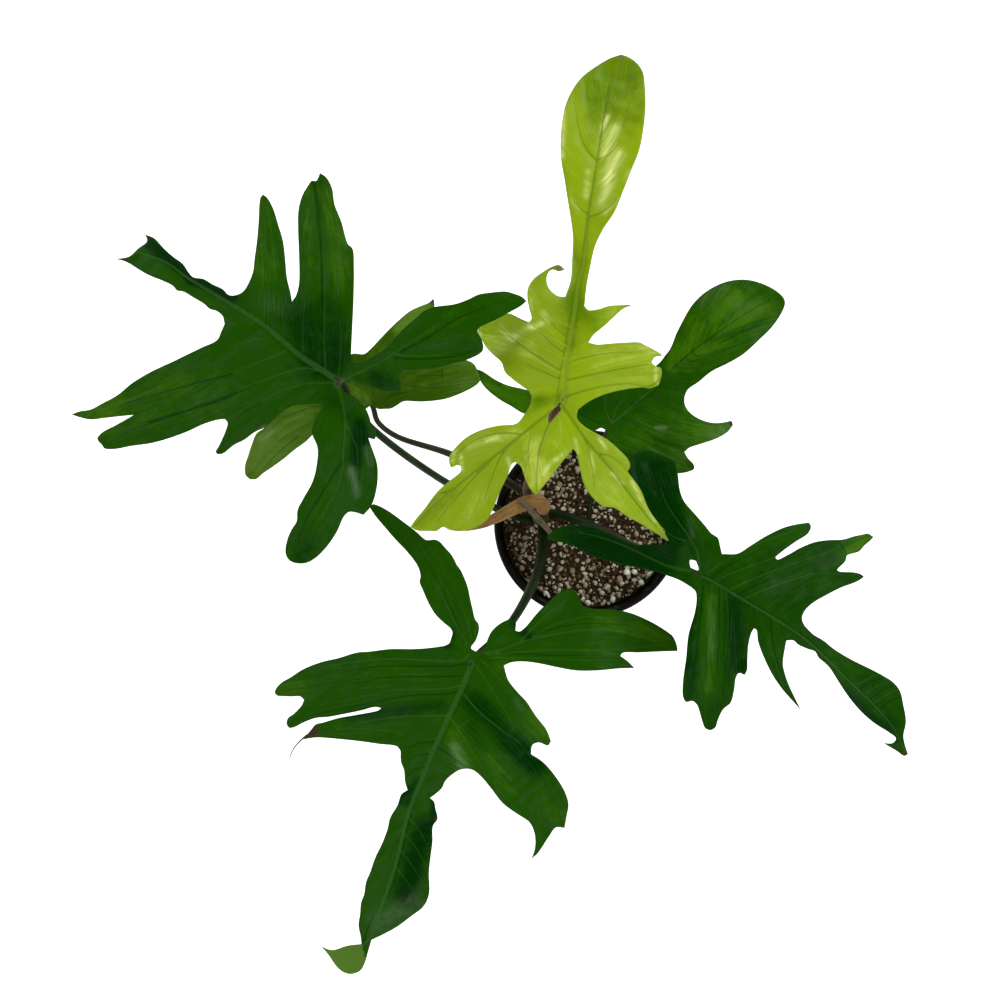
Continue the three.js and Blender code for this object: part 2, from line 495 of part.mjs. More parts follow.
function isInside(rings, x, y) {
  let inside = false;
  for (const ring of rings) {
    ring.forEach(([ax, ay], i) => {
      const [bx, by] = ring[(i + 1) % ring.length];
      if (ay > y !== by > y && x < ax + ((bx - ax) * (y - ay)) / (by - ay)) inside = !inside;
    });
  }
  return inside;
}

function distanceToRings(rings, x, y) {
  const point = new THREE.Vector3(x, y, 0);
  const nearest = new THREE.Vector3();
  let least = Infinity;
  for (const ring of rings) {
    ring.forEach(([ax, ay], i) => {
      const [bx, by] = ring[(i + 1) % ring.length];
      const side = new THREE.Line3(new THREE.Vector3(ax, ay, 0), new THREE.Vector3(bx, by, 0));
      side.closestPointToPoint(point, true, nearest);
      least = Math.min(least, nearest.distanceTo(point));
    });
  }
  return least;
}

// Rows of points inside the rings, clear of the edge, each row shifted by half a step and each point moved a
// little, by sines of its row and column.
function innerPoints(rings, step) {
  const box = new THREE.Box2().setFromPoints(rings[0].map(([x, y]) => new THREE.Vector2(x, y)));
  const found = [];
  const rowStep = step * Math.sin(Math.PI / 3);
  for (let row = 0; box.min.y + row * rowStep < box.max.y; row += 1) {
    for (let column = 0; box.min.x + column * step < box.max.x; column += 1) {
      const x = box.min.x + (column + (row % 2) / 2) * step + Math.sin(7 * row + 3 * column);
      const y = box.min.y + row * rowStep + Math.sin(5 * row + 11 * column);
      if (isInside(rings, x, y) && distanceToRings(rings, x, y) > 0.5 * step) found.push([x, y]);
    }
  }
  return found;
}

// Fills the rings with triangles. A side of a ring that no triangle has gets a point at its middle.
function fillRings(rings, inner) {
  let sides = rings;
  for (;;) {
    const outer = sides.flat();
    const points = [...outer, ...inner];
    const triangles = triangulate(points);
    const present = new Set(triangles.flatMap(([a, b, c]) => [`${a},${b}`, `${b},${c}`, `${c},${a}`]));
    let start = 0;
    let missing = 0;
    const split = sides.map((ring) => {
      const longer = ring.flatMap((point, i) => {
        const next = (i + 1) % ring.length;
        const [a, b] = [start + i, start + next];
        if (present.has(`${a},${b}`) || present.has(`${b},${a}`)) return [point];
        missing += 1;
        return [point, [(point[0] + ring[next][0]) / 2, (point[1] + ring[next][1]) / 2]];
      });
      start += ring.length;
      return longer;
    });
    if (missing === 0) {
      const middle = (corners, k) => corners.reduce((sum, i) => sum + points[i][k], 0) / 3;
      return { points, triangles: triangles.filter((t) => isInside(sides, middle(t, 0), middle(t, 1))) };
    }
    sides = split;
  }
}

// The veins as evenly spaced [x, y, height] points.
function veinPoints(leaf) {
  return leaf.veins.flatMap((vein) => {
    const curve = smoothCurve(vein.map((point) => new THREE.Vector3(...point)));
    return curve.getSpacedPoints(Math.ceil(curve.getLength() / VEIN_SAMPLE_SPACING));
  });
}

// The height of the middle of a blade: the mean of the veins' heights, the near ones counting most, raised
// with the distance from them, so that each vein lies in a shallow valley, plus a low wave.
function bladeHeight(leaf, x, y) {
  leaf.samples ??= veinPoints(leaf);
  let sum = 0;
  let weights = 0;
  for (const sample of leaf.samples) {
    const distance = Math.hypot(sample.x - x, sample.y - y);
    const weight = 1 / (distance ** 2 + VEIN_REACH ** 2) ** 2;
    sum += weight * (sample.z + leaf.sideRise * distance);
    weights += weight;
  }
  const waveX = Math.sin((2 * Math.PI * x) / BLADE_WAVE_LENGTH[0]);
  const waveY = Math.sin((2 * Math.PI * y) / BLADE_WAVE_LENGTH[1]);
  return sum / weights + BLADE_WAVE_HEIGHT * waveX * waveY;
}

// A leaf blade: the outline filled with triangles, lifted to its height, and the same again one thickness
// lower, with a wall along the edge.
function bladeGeometry(leaf) {
  const rings = [leaf.edge.flat()];
  if (leaf.slit) rings.push(leaf.slit);
  const step = BLADE_MESH_SPACING / PLAN_UNIT;
  const { points, triangles } = fillRings(rings, innerPoints(rings, step));
  const middles = points.map(([x, y]) => fromPlan(x, y, bladeHeight(leaf, x, y)));
  const count = middles.length;
  const facesUp = ([a, b, c]) => {
    const first = middles[b].clone().sub(middles[a]);
    const second = middles[c].clone().sub(middles[a]);
    return first.x * second.y - first.y * second.x > 0;
  };
  const top = triangles.map((corners) => (facesUp(corners) ? corners : [...corners].reverse()));
  const edges = new Map();
  const faces = [];
  for (const [a, b, c] of top) {
    faces.push(a, b, c, a + count, c + count, b + count);
    for (const [from, to] of [[a, b], [b, c], [c, a]]) {
      if (!edges.delete(`${to},${from}`)) edges.set(`${from},${to}`, [from, to]);
    }
  }
  for (const [from, to] of edges.values()) {
    faces.push(from, from + count, to + count, from, to + count, to);
  }
  const used = [...new Set(faces)];
  const renumbered = new Map(used.map((old, i) => [old, i]));
  const positions = used.flatMap((i) => {
    const { x, y, z } = middles[i % count];
    return [x, y, i < count ? z + BLADE_THICKNESS / 2 : z - BLADE_THICKNESS / 2];
  });
  const geometry = new THREE.BufferGeometry();
  geometry.setAttribute('position', new THREE.Float32BufferAttribute(positions, 3));
  geometry.setIndex(faces.map((i) => renumbered.get(i)));
  return geometry;
}

// The last two points of a stalk lie just under the blade, along the start of its midrib.
function stalkPoints(stalk, leaf) {
  const [start, next] = leaf.veins[0];
  const endRadius = stalk.radius.at(-1);
  const under = BLADE_THICKNESS / 2 + SEAT_GAP + endRadius;
  const along = new THREE.Vector2(next[0] - start[0], next[1] - start[1]).setLength(SEAT_REACH / PLAN_UNIT);
  const places = [start, [start[0] + along.x, start[1] + along.y]];
  const seat = places.map(([x, y]) => [x, y, bladeHeight(leaf, x, y) - under]);
  return [...stalk.path, ...seat].map((point) => fromPlan(...point));
}

// The soil's height at a place, as a low uneven heap that is a little higher at the front.
function soilHeight(x, y) {
  const heap = Math.sin(x / SOIL_WAVE_REACH[0] + 1) * Math.cos(y / SOIL_WAVE_REACH[1]);
  return SOIL_LEVEL + SOIL_WAVE * (heap - (SOIL_TILT * y) / RIM_RADIUS);
}

function seededRandom(seed) {
  const factor = 1103515245;
  const step = 12345;
  const span = 2 ** 31;
  let state = seed;
  return () => {
    state = (state * factor + step) % span;
    return state / span;
  };
}

const wallSlope = (RIM_RADIUS - RIM_BAND_STEP - BASE_RADIUS) / (POT_HEIGHT - RIM_BAND_HEIGHT);

function innerWallRadius(height) {
  return BASE_RADIUS + wallSlope * height - POT_WALL;
}

function pot() {
  const bandFoot = POT_HEIGHT - RIM_BAND_HEIGHT;
  const shell = turned([
    [0, 0],
    [BASE_RADIUS - EDGE_ROUNDING, 0],
    [BASE_RADIUS, EDGE_ROUNDING],
    [RIM_RADIUS - RIM_BAND_STEP, bandFoot],
    [RIM_RADIUS - EDGE_ROUNDING / 2, bandFoot + EDGE_ROUNDING / 2],
    [RIM_RADIUS, POT_HEIGHT - EDGE_ROUNDING],
    [RIM_RADIUS - EDGE_ROUNDING, POT_HEIGHT],
    [innerWallRadius(POT_HEIGHT) + EDGE_ROUNDING / 2, POT_HEIGHT],
    [innerWallRadius(POT_HEIGHT), POT_HEIGHT - EDGE_ROUNDING],
    [innerWallRadius(POT_FLOOR), POT_FLOOR],
    [0, POT_FLOOR],
  ]);
  let solid = toSolid(shell);
  const cutHeight = 4 * POT_FLOOR;
  for (let i = 0; i < DRAIN_HOLES; i += 1) {
    const angle = (2 * Math.PI * i) / DRAIN_HOLES;
    const hole = new THREE.CylinderGeometry(DRAIN_RADIUS, DRAIN_RADIUS, cutHeight, DRAIN_SIDES);
    hole.rotateX(Math.PI / 2);
    hole.translate(DRAIN_CIRCLE_RADIUS * Math.cos(angle), DRAIN_CIRCLE_RADIUS * Math.sin(angle), 0);
    solid = solid.subtract(toSolid(hole));
  }
  return toGeometry(solid);
}

function pottingMix(stemHole, stalkHole) {
  const foot = POT_FLOOR + CLEARANCE;
  const topRadius = innerWallRadius(SOIL_EDGE_LEVEL) - 2 * CLEARANCE;
  const body = turned([
    [0, foot],
    [innerWallRadius(foot) - CLEARANCE, foot],
    ...SOIL_RING_SHARES.map((share) => [share * topRadius, SOIL_EDGE_LEVEL]),
  ]);
  const position = body.attributes.position;
  for (let i = 0; i < position.count; i += 1) {
    const isTop = position.getZ(i) > SOIL_EDGE_LEVEL / 2;
    if (isTop) position.setZ(i, soilHeight(position.getX(i), position.getY(i)));
  }
  let solid = toSolid(body);
  const random = seededRandom(LUMP_SEED);
  const reach = innerWallRadius(SOIL_LEVEL) - LUMP_RADIUS[1] - 1;
  for (let i = 0; i < LUMPS; i += 1) {
    const radius = THREE.MathUtils.lerp(...LUMP_RADIUS, random() ** 2);
    const away = reach * Math.sqrt(random());
    const angle = 2 * Math.PI * random();
    const x = away * Math.cos(angle);
    const y = away * Math.sin(angle);
    const lump = new THREE.IcosahedronGeometry(radius, 0);
    lump.rotateX(2 * Math.PI * random()).rotateZ(2 * Math.PI * random());
    lump.translate(x, y, soilHeight(x, y) + LUMP_LIFT * radius);
    solid = solid.add(toSolid(lump));
  }
  return toGeometry(solid.subtract(stemHole).subtract(stalkHole));
}

function grown(radii, by) {
  return radii.map((radius) => radius + by);
}

const stemPlace = fromPlan(...STEM_PLACE, STEM_TOP);
const stemPoints = STEM_PROFILE.map(([z]) => new THREE.Vector3(stemPlace.x, stemPlace.y, z));
const stemRadii = STEM_PROFILE.map(([, share]) => share * STEM_RADIUS);
const spacePoints = stemPoints.map((point) => point.clone());
spacePoints[0].z -= CLEARANCE;
spacePoints.at(-1).z += CLEARANCE;
const stemSpace = toSolid(taperedBar(spacePoints, grown(stemRadii, CLEARANCE)));

const leaves = {
  upper_left: { ...UPPER_LEFT, colour: LEAF_GREEN, stalkColour: STALK_GREEN },
  under_left: { ...UNDER_LEFT, colour: UNDER_LEAF_GREEN, stalkColour: STALK_GREEN },
  lime: { ...NEW_LIME, colour: LIME, stalkColour: STALK_BROWN },
  back_right: { ...BACK_RIGHT, colour: LEAF_GREEN, stalkColour: STALK_GREEN },
  right: { ...RIGHT, colour: LEAF_GREEN, stalkColour: STALK_GREEN },
  front: { ...FRONT, colour: LEAF_GREEN, stalkColour: STALK_GREEN },
};

const plant = new THREE.Group();

function addPiece(name, geometry, finish) {
  const mesh = new THREE.Mesh(geometry, new THREE.MeshStandardMaterial(finish));
  mesh.name = name;
  plant.add(mesh);
}

const backStalkPoints = stalkPoints(STALKS.back_right, leaves.back_right);
const backStalkSpace = toSolid(taperedBar(backStalkPoints, grown(STALKS.back_right.radius, CLEARANCE)));

addPiece('pot', pot(), POT_BLACK);
addPiece('potting_mix', pottingMix(stemSpace, backStalkSpace), SOIL_BROWN);
addPiece('stem', taperedBar(stemPoints, stemRadii), STALK_GREEN);
for (const [name, leaf] of Object.entries(leaves)) {
  const stalk = taperedBar(stalkPoints(STALKS[name], leaf), STALKS[name].radius);
  addPiece(`${name}_blade`, bladeGeometry(leaf), leaf.colour);
  addPiece(`${name}_stalk`, toGeometry(toSolid(stalk).subtract(stemSpace)), leaf.stalkColour);
}

const sheathPoints = DRY_SHEATH.path.map((point) => fromPlan(...point));
const sheath = toSolid(taperedBar(sheathPoints, DRY_SHEATH.radius)).subtract(stemSpace);
const stripPoints = DRY_STRIP.path.map((point) => fromPlan(...point));
addPiece('dry_sheath', toGeometry(sheath), DRY_ORANGE);
addPiece('dry_strip', taperedBar(stripPoints, DRY_STRIP.radius, DRY_STRIP.flatness), DRY_GREY);

export default plant;
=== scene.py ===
import bpy
import numpy as np
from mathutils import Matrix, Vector
from mathutils.geometry import delaunay_2d_cdt


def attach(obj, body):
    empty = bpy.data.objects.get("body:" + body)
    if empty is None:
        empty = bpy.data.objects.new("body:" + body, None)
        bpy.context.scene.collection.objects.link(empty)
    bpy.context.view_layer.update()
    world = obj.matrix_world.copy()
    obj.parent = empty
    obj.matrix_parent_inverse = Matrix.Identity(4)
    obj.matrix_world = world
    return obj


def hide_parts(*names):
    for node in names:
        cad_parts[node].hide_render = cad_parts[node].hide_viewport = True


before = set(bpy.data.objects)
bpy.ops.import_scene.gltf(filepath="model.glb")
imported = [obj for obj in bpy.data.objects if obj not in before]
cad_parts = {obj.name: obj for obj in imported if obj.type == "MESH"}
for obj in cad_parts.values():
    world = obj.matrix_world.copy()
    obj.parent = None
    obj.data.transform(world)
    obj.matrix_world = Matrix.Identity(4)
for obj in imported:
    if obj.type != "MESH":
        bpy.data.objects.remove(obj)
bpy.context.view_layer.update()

# A philodendron with six deeply lobed leaves in a black nursery pot, seen from straight above.
# Lengths are in millimetres until a mesh is made, +Z up, with the origin under the middle of the pot.
METRE = 0.001

# The plan: outlines, veins and stalks are drawn as an eye above the plant sees them, in half millimetres at
# PLAN_LEVEL, x to the right and y to the front, with PLAN_CENTRE under the eye.
EYE_HEIGHT = 1123
EYE_PLACE = np.array([-49.1, 13.4])
PLAN_LEVEL = 200
PLAN_UNIT = 0.5
PLAN_CENTRE = 500

# Blades
MESH_SPACING = 1.7
BLADE_THICKNESS = 0.5
EDGE_THICKNESS = 0.3
THIN_EDGE_WIDTH = 1.5
FLAT_EDGE_WIDTH = 4
WAVE_HEIGHT = 1.2
WAVE_LENGTH = np.array([110, 124])
VEIN_SAMPLE_SPACING = 8
VEIN_REACH = 11
GROOVE_DEPTH = 0.45
GROOVE_WIDTH = 1.6
RIB_RIDGE = 0.7
PALE_LINE_DEPTH = 0.12
DARK_LINE_DEPTH = 0.2
CRINKLE_HEIGHT = 0.25
CRINKLE_LENGTH = 16
EDGE_CURL_HEIGHT = 0.5
EDGE_CURL_LENGTH = 22
RIB_EXTENSION = 3
RIB_GAP_BEHIND_JOINT = 9
LARGEST_LINE_GAP = 8.0
LINE_TAPER = 0.6
TINY = 0.01
FIRST_BLADE_SEED = 40

# Side veins, in plan units
VEIN_EXTENSION = 40
VEIN_ROOT_REACH = 14
VEIN_ROOT_SAMPLES = 40
LAST_VEIN_GAP = 20
VEIN_COUNT_START = 40

# Low relief as a sum of sine waves
RIPPLE_WAVES = 9
RIPPLE_LENGTHS = (0.7, 1.5)
RIPPLE_GAIN = 2.2

# Triangulation
INNER_SPACING_SHARE = 1.15
ROW_SHARE = 0.866
POINT_UNEVENNESS = 0.15
POINT_CLEARANCE = 0.6
LINE_CLEARANCE = 0.5
LARGEST_BLOCK = 4_000_000

# Stalks and dry pieces
TUBE_STEP = 0.9
FEWEST_TUBE_RINGS = 12
LEAST_END_SHARE = 0.02
RIDGE_TWIST = 0.08
RIDGE_START = 6
FIBRE_TURN = 3
FIBRE_STRETCH = 0.12
SEAT_REACH = 14
SEAT_GAP = 0.15
STALK_SIDES = 20

# Pot and potting mix
POT_HEIGHT = 92
RIM_RADIUS = 52.5
BASE_RADIUS = 38
POT_WALL = 1.6
POT_FLOOR = 2.4
RIM_BAND_HEIGHT = 9
RIM_BAND_STEP = 2.3
DRAIN_HOLES = 6
DRAIN_RADIUS = 4
DRAIN_CIRCLE_RADIUS = 26
SOIL_LEVEL = 79
SOIL_WAVE = 1.6
POT_SIDES = 180
HUB_RADIUS = 2
BASE_RECESS = 1.2
FOOT_BAND_TOP = 12
FOOT_BAND_EDGE = 12.6
WALL_ROUNDING = 0.8
SOIL_COLUMNS = 220
SOIL_ROWS = 84
SOIL_GAP = 0.3
CRUMB, GRAIN, WHITE = 1, 2, 3
LUMP_SIDES = 7
LUMP_DENTS = 0.16
LUMP_FLATNESS = 0.25
FIRST_LUMP_SEED = 21
SCATTER_JITTER = 0.48
DRIFT_LENGTH = 17

# Stem
STEM_PLAN = [541, 516]
STEM_FOOT = 34
STEM_TOP = 118
STEM_RADIUS = 5.4

# Studio, in metres, with the lens in millimetres and each panel as [azimuth in degrees, power in watts]
CAMERA_LENS = 66.456
FLOOR_REACH = 60.0
LIGHT_AIM = (-0.03, 0.0, 0.15)
PANEL_DISTANCE = 1.35
PANEL_HEIGHT = 1.0
PANEL_SIZE = 0.9
PANELS = [[35, 11], [95, 6], [155, 6], [215, 6], [275, 6], [335, 7]]
SKY_STRENGTH = 0.08

# Each edge is a list of runs, and each run ends on a corner: a lobe's tip or the bottom of a cut. A vein is a
# list of [plan x, plan y, height] from the stalk outwards, and the blade follows the veins' heights.
UPPER_LEFT = {
    "edge": [
        [[129, 256.5], [138, 248.5], [147, 241], [145, 234.5]],
        [[154, 238], [164, 248.5], [173, 256.5], [183, 264], [188, 271.5], [193, 277], [203.5, 279],
         [213, 284.5], [222.5, 289], [229, 295], [236, 295], [243.5, 291], [249, 282], [253, 271.5],
         [254.5, 259], [257, 240], [258.5, 222], [260.5, 197.5], [263, 194.5]],
        [[267, 197.5], [273, 208], [278.5, 225.5], [283, 241], [285.5, 262], [287, 278], [290.5, 292.5],
         [292, 301.5]],
        [[296, 295.5], [299, 283], [299, 256], [298, 229], [298.5, 209.5], [302.5, 195], [308, 185.5],
         [312, 180.5], [316, 181], [320, 173]],
        [[326, 177], [332, 188], [334.5, 204], [341.5, 222], [348, 244], [352.5, 248.5], [354, 268],
         [353.5, 301.5], [352, 333.5], [351, 356]],
        [[353, 363], [368, 359.5], [379, 353], [386, 348], [393, 340.5], [400.5, 332], [407.5, 325],
         [416, 318], [424, 311], [434, 307], [455, 304], [469, 299], [478.5, 294.5], [491, 292.5],
         [506, 291.5], [513.5, 293.5], [521.5, 296.5], [526.5, 301]],
        [[521.5, 305.5], [510, 312], [496, 319.5], [487, 323.5], [479, 328], [477.5, 332]],
        [[481, 338], [482.5, 342], [483.5, 347.5], [482.5, 351], [478.5, 354.5], [469, 359], [459.5, 362],
         [435.5, 368], [415, 370], [402, 371.5], [399, 375]],
        [[401, 382], [399.5, 390.5], [391, 391.5], [376, 389], [364.5, 385.5], [352, 380.5], [343, 382]],
        [[341, 386], [347, 394], [355.5, 397.5], [360, 402.5], [365, 407.5], [368.5, 414.5], [372, 425],
         [375.5, 429], [376, 436], [374.5, 439.5]],
        [[368.5, 438]],
        [[371, 445.5], [374.5, 455], [377.5, 466], [377, 486], [371.5, 505.5], [363.5, 515]],
        [[355.5, 512.5], [349, 512], [344, 516.5], [336.5, 532.5], [326.5, 547], [315.5, 558], [306, 563],
         [295, 563], [288.5, 559.5], [285.5, 553], [287, 540.5], [291.5, 529.5], [296.5, 521.5],
         [297.5, 510], [303, 499], [312.5, 481.5], [316.5, 465.5], [317.5, 448], [312.5, 435], [312, 429],
         [315.5, 419.5], [322, 408], [322.5, 404]],
        [[304.5, 404], [291.5, 406.5], [279, 414.5], [264.5, 427.5], [255, 432], [244, 440], [234, 445],
         [223, 453.5], [218, 454.5]],
        [[215.5, 452], [218.5, 446.5], [224.5, 433.5], [227.5, 422.5], [224.5, 419]],
        [[217, 420], [204, 424], [187.5, 431.5], [170, 438], [152, 443], [131.5, 446], [115, 449],
         [104.5, 448.5], [102, 445], [98.5, 441.5], [97, 438]],
        [[102, 432.5], [116, 425], [127.5, 418.5], [133.5, 415]],
        [[122.5, 416], [104.5, 418], [90.5, 419.5], [80.5, 417.5], [71.5, 414.5]],
        [[79, 411.5], [90.5, 409.5], [102, 403.5], [117.5, 395], [131.5, 383.5], [149.5, 372.5],
         [175, 360.5], [200.5, 348], [217, 340], [221, 332], [224.5, 324]],
        [[222.5, 316], [216.5, 311], [210, 309], [203.5, 303.5], [192.5, 297], [183, 291.5], [177, 290.5],
         [173, 286], [162, 280.5], [149.5, 275.5], [138, 269], [128.5, 263], [120.5, 260], [114, 259]],
    ],
    "veins": [
        [[341, 382, 215], [302, 357, 222], [264, 325, 222], [226, 301, 212], [188, 278, 197],
         [165, 262, 186], [132, 250, 168]],
        [[339, 381, 215], [325, 309, 228], [323, 246, 222], [315, 191, 208]],
        [[264, 325, 222], [267, 262, 220], [264, 204, 205]],
        [[341, 381, 215], [366, 367, 223], [395, 354, 231], [427, 338, 237], [475, 316, 241],
         [519, 298, 238]],
        [[395, 354, 231], [459, 351, 234]],
        [[340, 392, 213], [344, 421, 216], [343, 453, 212], [337, 488, 203], [315, 526, 190],
         [302, 552, 180]],
        [[264, 325, 222], [220, 355, 216], [160, 385, 203], [78, 414, 184]],
        [[302, 357, 222], [250, 385, 216], [180, 420, 203], [103, 443, 190]],
        [[325, 372, 218], [280, 400, 213], [240, 430, 203], [220, 450, 196]],
    ],
    "side_rise": 0.07,
}

UNDER_LEFT = {
    "edge": [
        [[378.5, 409], [384, 409], [391, 408.5], [397.5, 405], [402, 402], [406.5, 401], [416, 401.5],
         [424.5, 401.5], [445, 399], [464, 392], [476.5, 385], [480.5, 380.5]],
        [[478, 372], [474.5, 364.5], [469, 361], [450, 357], [420, 356], [395, 361], [380, 372]],
        [[395, 352], [415, 333], [430, 315], [434.5, 306], [433.5, 298.5]],
        [[429, 302.5], [420.5, 306], [410, 311], [399.5, 319.5], [389, 329.5], [378.5, 340.5],
         [370, 349.5], [364, 354], [351.5, 354], [344, 366]],
        [[334, 352], [316, 338], [300, 331]],
        [[297, 345], [302, 362]],
        [[292, 385], [279, 405], [264.5, 427.5], [256.5, 433.5], [251.5, 445], [248, 456], [245, 465.5],
         [245.5, 475], [250, 479.5]],
        [[256.5, 479], [263, 473.5], [272.5, 467], [283.5, 459], [295, 449.5], [306, 441.5], [312.5, 435],
         [323, 425], [337, 418], [352, 413], [364, 410], [371, 405]],
    ],
    "veins": [
        [[370, 403, 185], [325, 410, 187], [307, 424, 184], [280, 440, 178], [250, 474, 168]],
        [[370, 403, 185], [372, 370, 189], [400, 330, 186], [432, 300, 177]],
        [[370, 403, 185], [400, 388, 188], [440, 381, 184], [478, 377, 175]],
        [[345, 395, 187], [325, 365, 188], [302, 334, 182]],
    ],
    "side_rise": 0.05,
}

NEW_LIME = {
    "edge": [
        [[627.5, 56.5], [637, 63], [643, 72.5], [645, 88], [645.5, 107], [643, 132], [639, 151],
         [631.5, 170], [624, 189], [614.5, 212], [603, 229.5], [595, 246.5], [590.5, 265.5], [586.5, 287],
         [584.5, 306]],
        [[588.5, 310], [599, 309], [608.5, 306], [622, 305], [633.5, 304.5]],
        [[623, 309], [614.5, 316.5], [603, 327], [593, 335.5], [588.5, 342.5]],
        [[597, 344.5], [610.5, 343.5], [625.5, 342.5], [640, 342.5], [645, 345], [656.5, 351],
         [663, 355.5]],
        [[654.5, 357.5], [651.5, 362.5]],
        [[656.5, 366.5], [661, 368], [661.5, 376], [658.5, 385.5]],
        [[648.5, 388.5], [643, 387.5], [622, 390], [603, 395], [587.5, 402.5], [578, 409.5]],
        [[577, 418], [583.5, 425.5], [593, 431.5], [606.5, 439], [620, 450.5], [628.5, 460], [630, 467],
         [627.5, 471.5]],
        [[632.5, 478], [640.5, 489.5], [649, 509.5], [660.5, 526], [669, 541]],
        [[654.5, 532.5], [639, 523], [625.5, 515.5], [614.5, 508], [603, 506], [591.5, 496.5],
         [583.5, 483], [580, 469.5], [576, 452.5], [573, 449]],
        [[568.5, 454.5], [560.5, 464], [551, 477], [541.5, 488.5], [536, 495.5]],
        [[530, 488.5], [524.5, 477], [520.5, 466], [515, 462]],
        [[512, 464], [507, 477], [499.5, 492.5], [493.5, 508], [486, 521], [476.5, 527], [463, 531],
         [449.5, 530], [443, 527], [436.5, 531], [428.5, 531], [417, 530.5], [410.5, 527]],
        [[415.5, 519.5], [425, 508], [436.5, 492.5], [448, 482], [460.5, 471.5], [461, 466.5]],
        [[457.5, 465], [451.5, 467.5], [449.5, 464], [449.5, 456], [455.5, 447.5], [467, 437],
         [482.5, 429.5], [499.5, 425.5], [516.5, 423.5], [524.5, 414], [530, 404.5], [531.5, 397],
         [529, 391]],
        [[522.5, 386.5], [513, 379.5], [505, 372], [501.5, 362.5], [493.5, 355], [486, 347],
         [480.5, 337.5], [477.5, 333]],
        [[480, 326], [492, 316], [509.5, 313.5], [514.5, 315.5], [522.5, 319.5], [529, 322]],
        [[531.5, 318.5], [530, 311], [527.5, 299.5], [528, 288], [534, 278.5], [543.5, 271.5], [551, 267],
         [559, 265], [565, 269.5]],
        [[559, 271.5], [553, 269.5], [548.5, 272.5], [546.5, 279], [549, 288], [557, 295.5], [565, 297]],
        [[570.5, 281], [572, 260], [573, 239], [571, 220], [567.5, 199], [564.5, 179.5], [561.5, 162.5],
         [560.5, 143.5], [562, 122.5], [565.5, 105], [572, 90.5], [581.5, 77.5], [595, 67], [610.5, 58],
         [621, 54.5]],
    ],
    "slit": [[559, 405.5], [549.5, 413.5], [548, 418], [549, 423.5], [554, 418], [561, 410]],
    "veins": [
        [[557, 408, 235], [563, 399, 236], [566, 370, 240], [570, 340, 243], [574, 316, 244],
         [578, 288, 245], [584, 259, 247], [588, 212, 250], [597, 164, 250], [603, 122, 247],
         [612, 72, 240]],
        [[553, 408, 235], [534, 424, 235], [507, 447, 230], [476, 470, 221], [448, 492, 211],
         [411, 527, 197]],
        [[507, 447, 230], [480, 445, 224], [455, 452, 217]],
        [[564, 406, 235], [576, 424, 236], [587, 443, 234], [610, 470, 227], [630, 498, 217],
         [666, 536, 200]],
        [[566, 379, 240], [600, 366, 239], [660, 356, 230]],
        [[562, 399, 236], [600, 380, 235], [658, 378, 226]],
        [[571, 335, 243], [590, 318, 243], [633, 305, 236]],
        [[570, 340, 243], [548, 312, 236], [536, 290, 228], [556, 268, 220]],
        [[561, 368, 240], [535, 352, 230], [510, 342, 217], [480, 333, 203]],
        [[557, 383, 238], [535, 372, 231], [510, 362, 221]],
    ],
    "side_rise": 0.1,
}

BACK_RIGHT = {
    "edge": [
        [[684.5, 317.5], [692.5, 304.5], [703.5, 293.5], [716.5, 285.5], [729, 281], [743.5, 279.5],
         [756, 281.5], [769, 286.5], [778.5, 292.5], [784, 298.5], [785, 304], [781, 314], [772, 327],
         [759.5, 339.5], [743.5, 354], [727.5, 363.5], [711.5, 371.5], [698.5, 382], [687.5, 390],
         [684.5, 397]],
        [[685, 405], [690.5, 413], [702, 420], [714.5, 423], [726, 422], [731.5, 421], [733, 425]],
        [[727.5, 432], [716.5, 438.5], [700.5, 444], [689, 448], [684.5, 452]],
        [[687.5, 457.5], [694, 465], [694, 469], [687.5, 472], [678, 473.5], [660, 473], [641, 469],
         [624, 462], [612, 451], [606, 440], [607, 431]],
        [[601, 428], [594, 431], [584, 429], [574, 420], [560, 416], [540, 416], [522.5, 413],
         [512.5, 407], [499.5, 399.5], [487, 389.5], [480.5, 381], [477, 369]],
        [[483, 371.5], [496, 380], [508.5, 385.5], [521.5, 388.5], [530, 390.5], [550, 394], [575, 397],
         [598, 394]],
        [[598, 380], [603, 362], [606, 352]],
        [[618, 356], [635, 368], [648, 370]],
        [[655.5, 366], [661, 361], [665, 355.5], [670, 349], [676.5, 333]],
    ],
    "veins": [
        [[611, 424, 165], [645, 395, 171], [672, 370, 174], [700, 350, 176], [735, 324, 174],
         [775, 298, 166]],
        [[645, 395, 171], [680, 413, 169], [731, 424, 159]],
        [[612, 428, 165], [640, 440, 166], [670, 458, 162], [692, 467, 156]],
        [[607, 427, 165], [585, 415, 164], [545, 405, 160], [500, 388, 154], [479, 371, 149]],
        [[645, 395, 171], [625, 375, 170], [607, 354, 166]],
    ],
    "side_rise": 0.08,
}

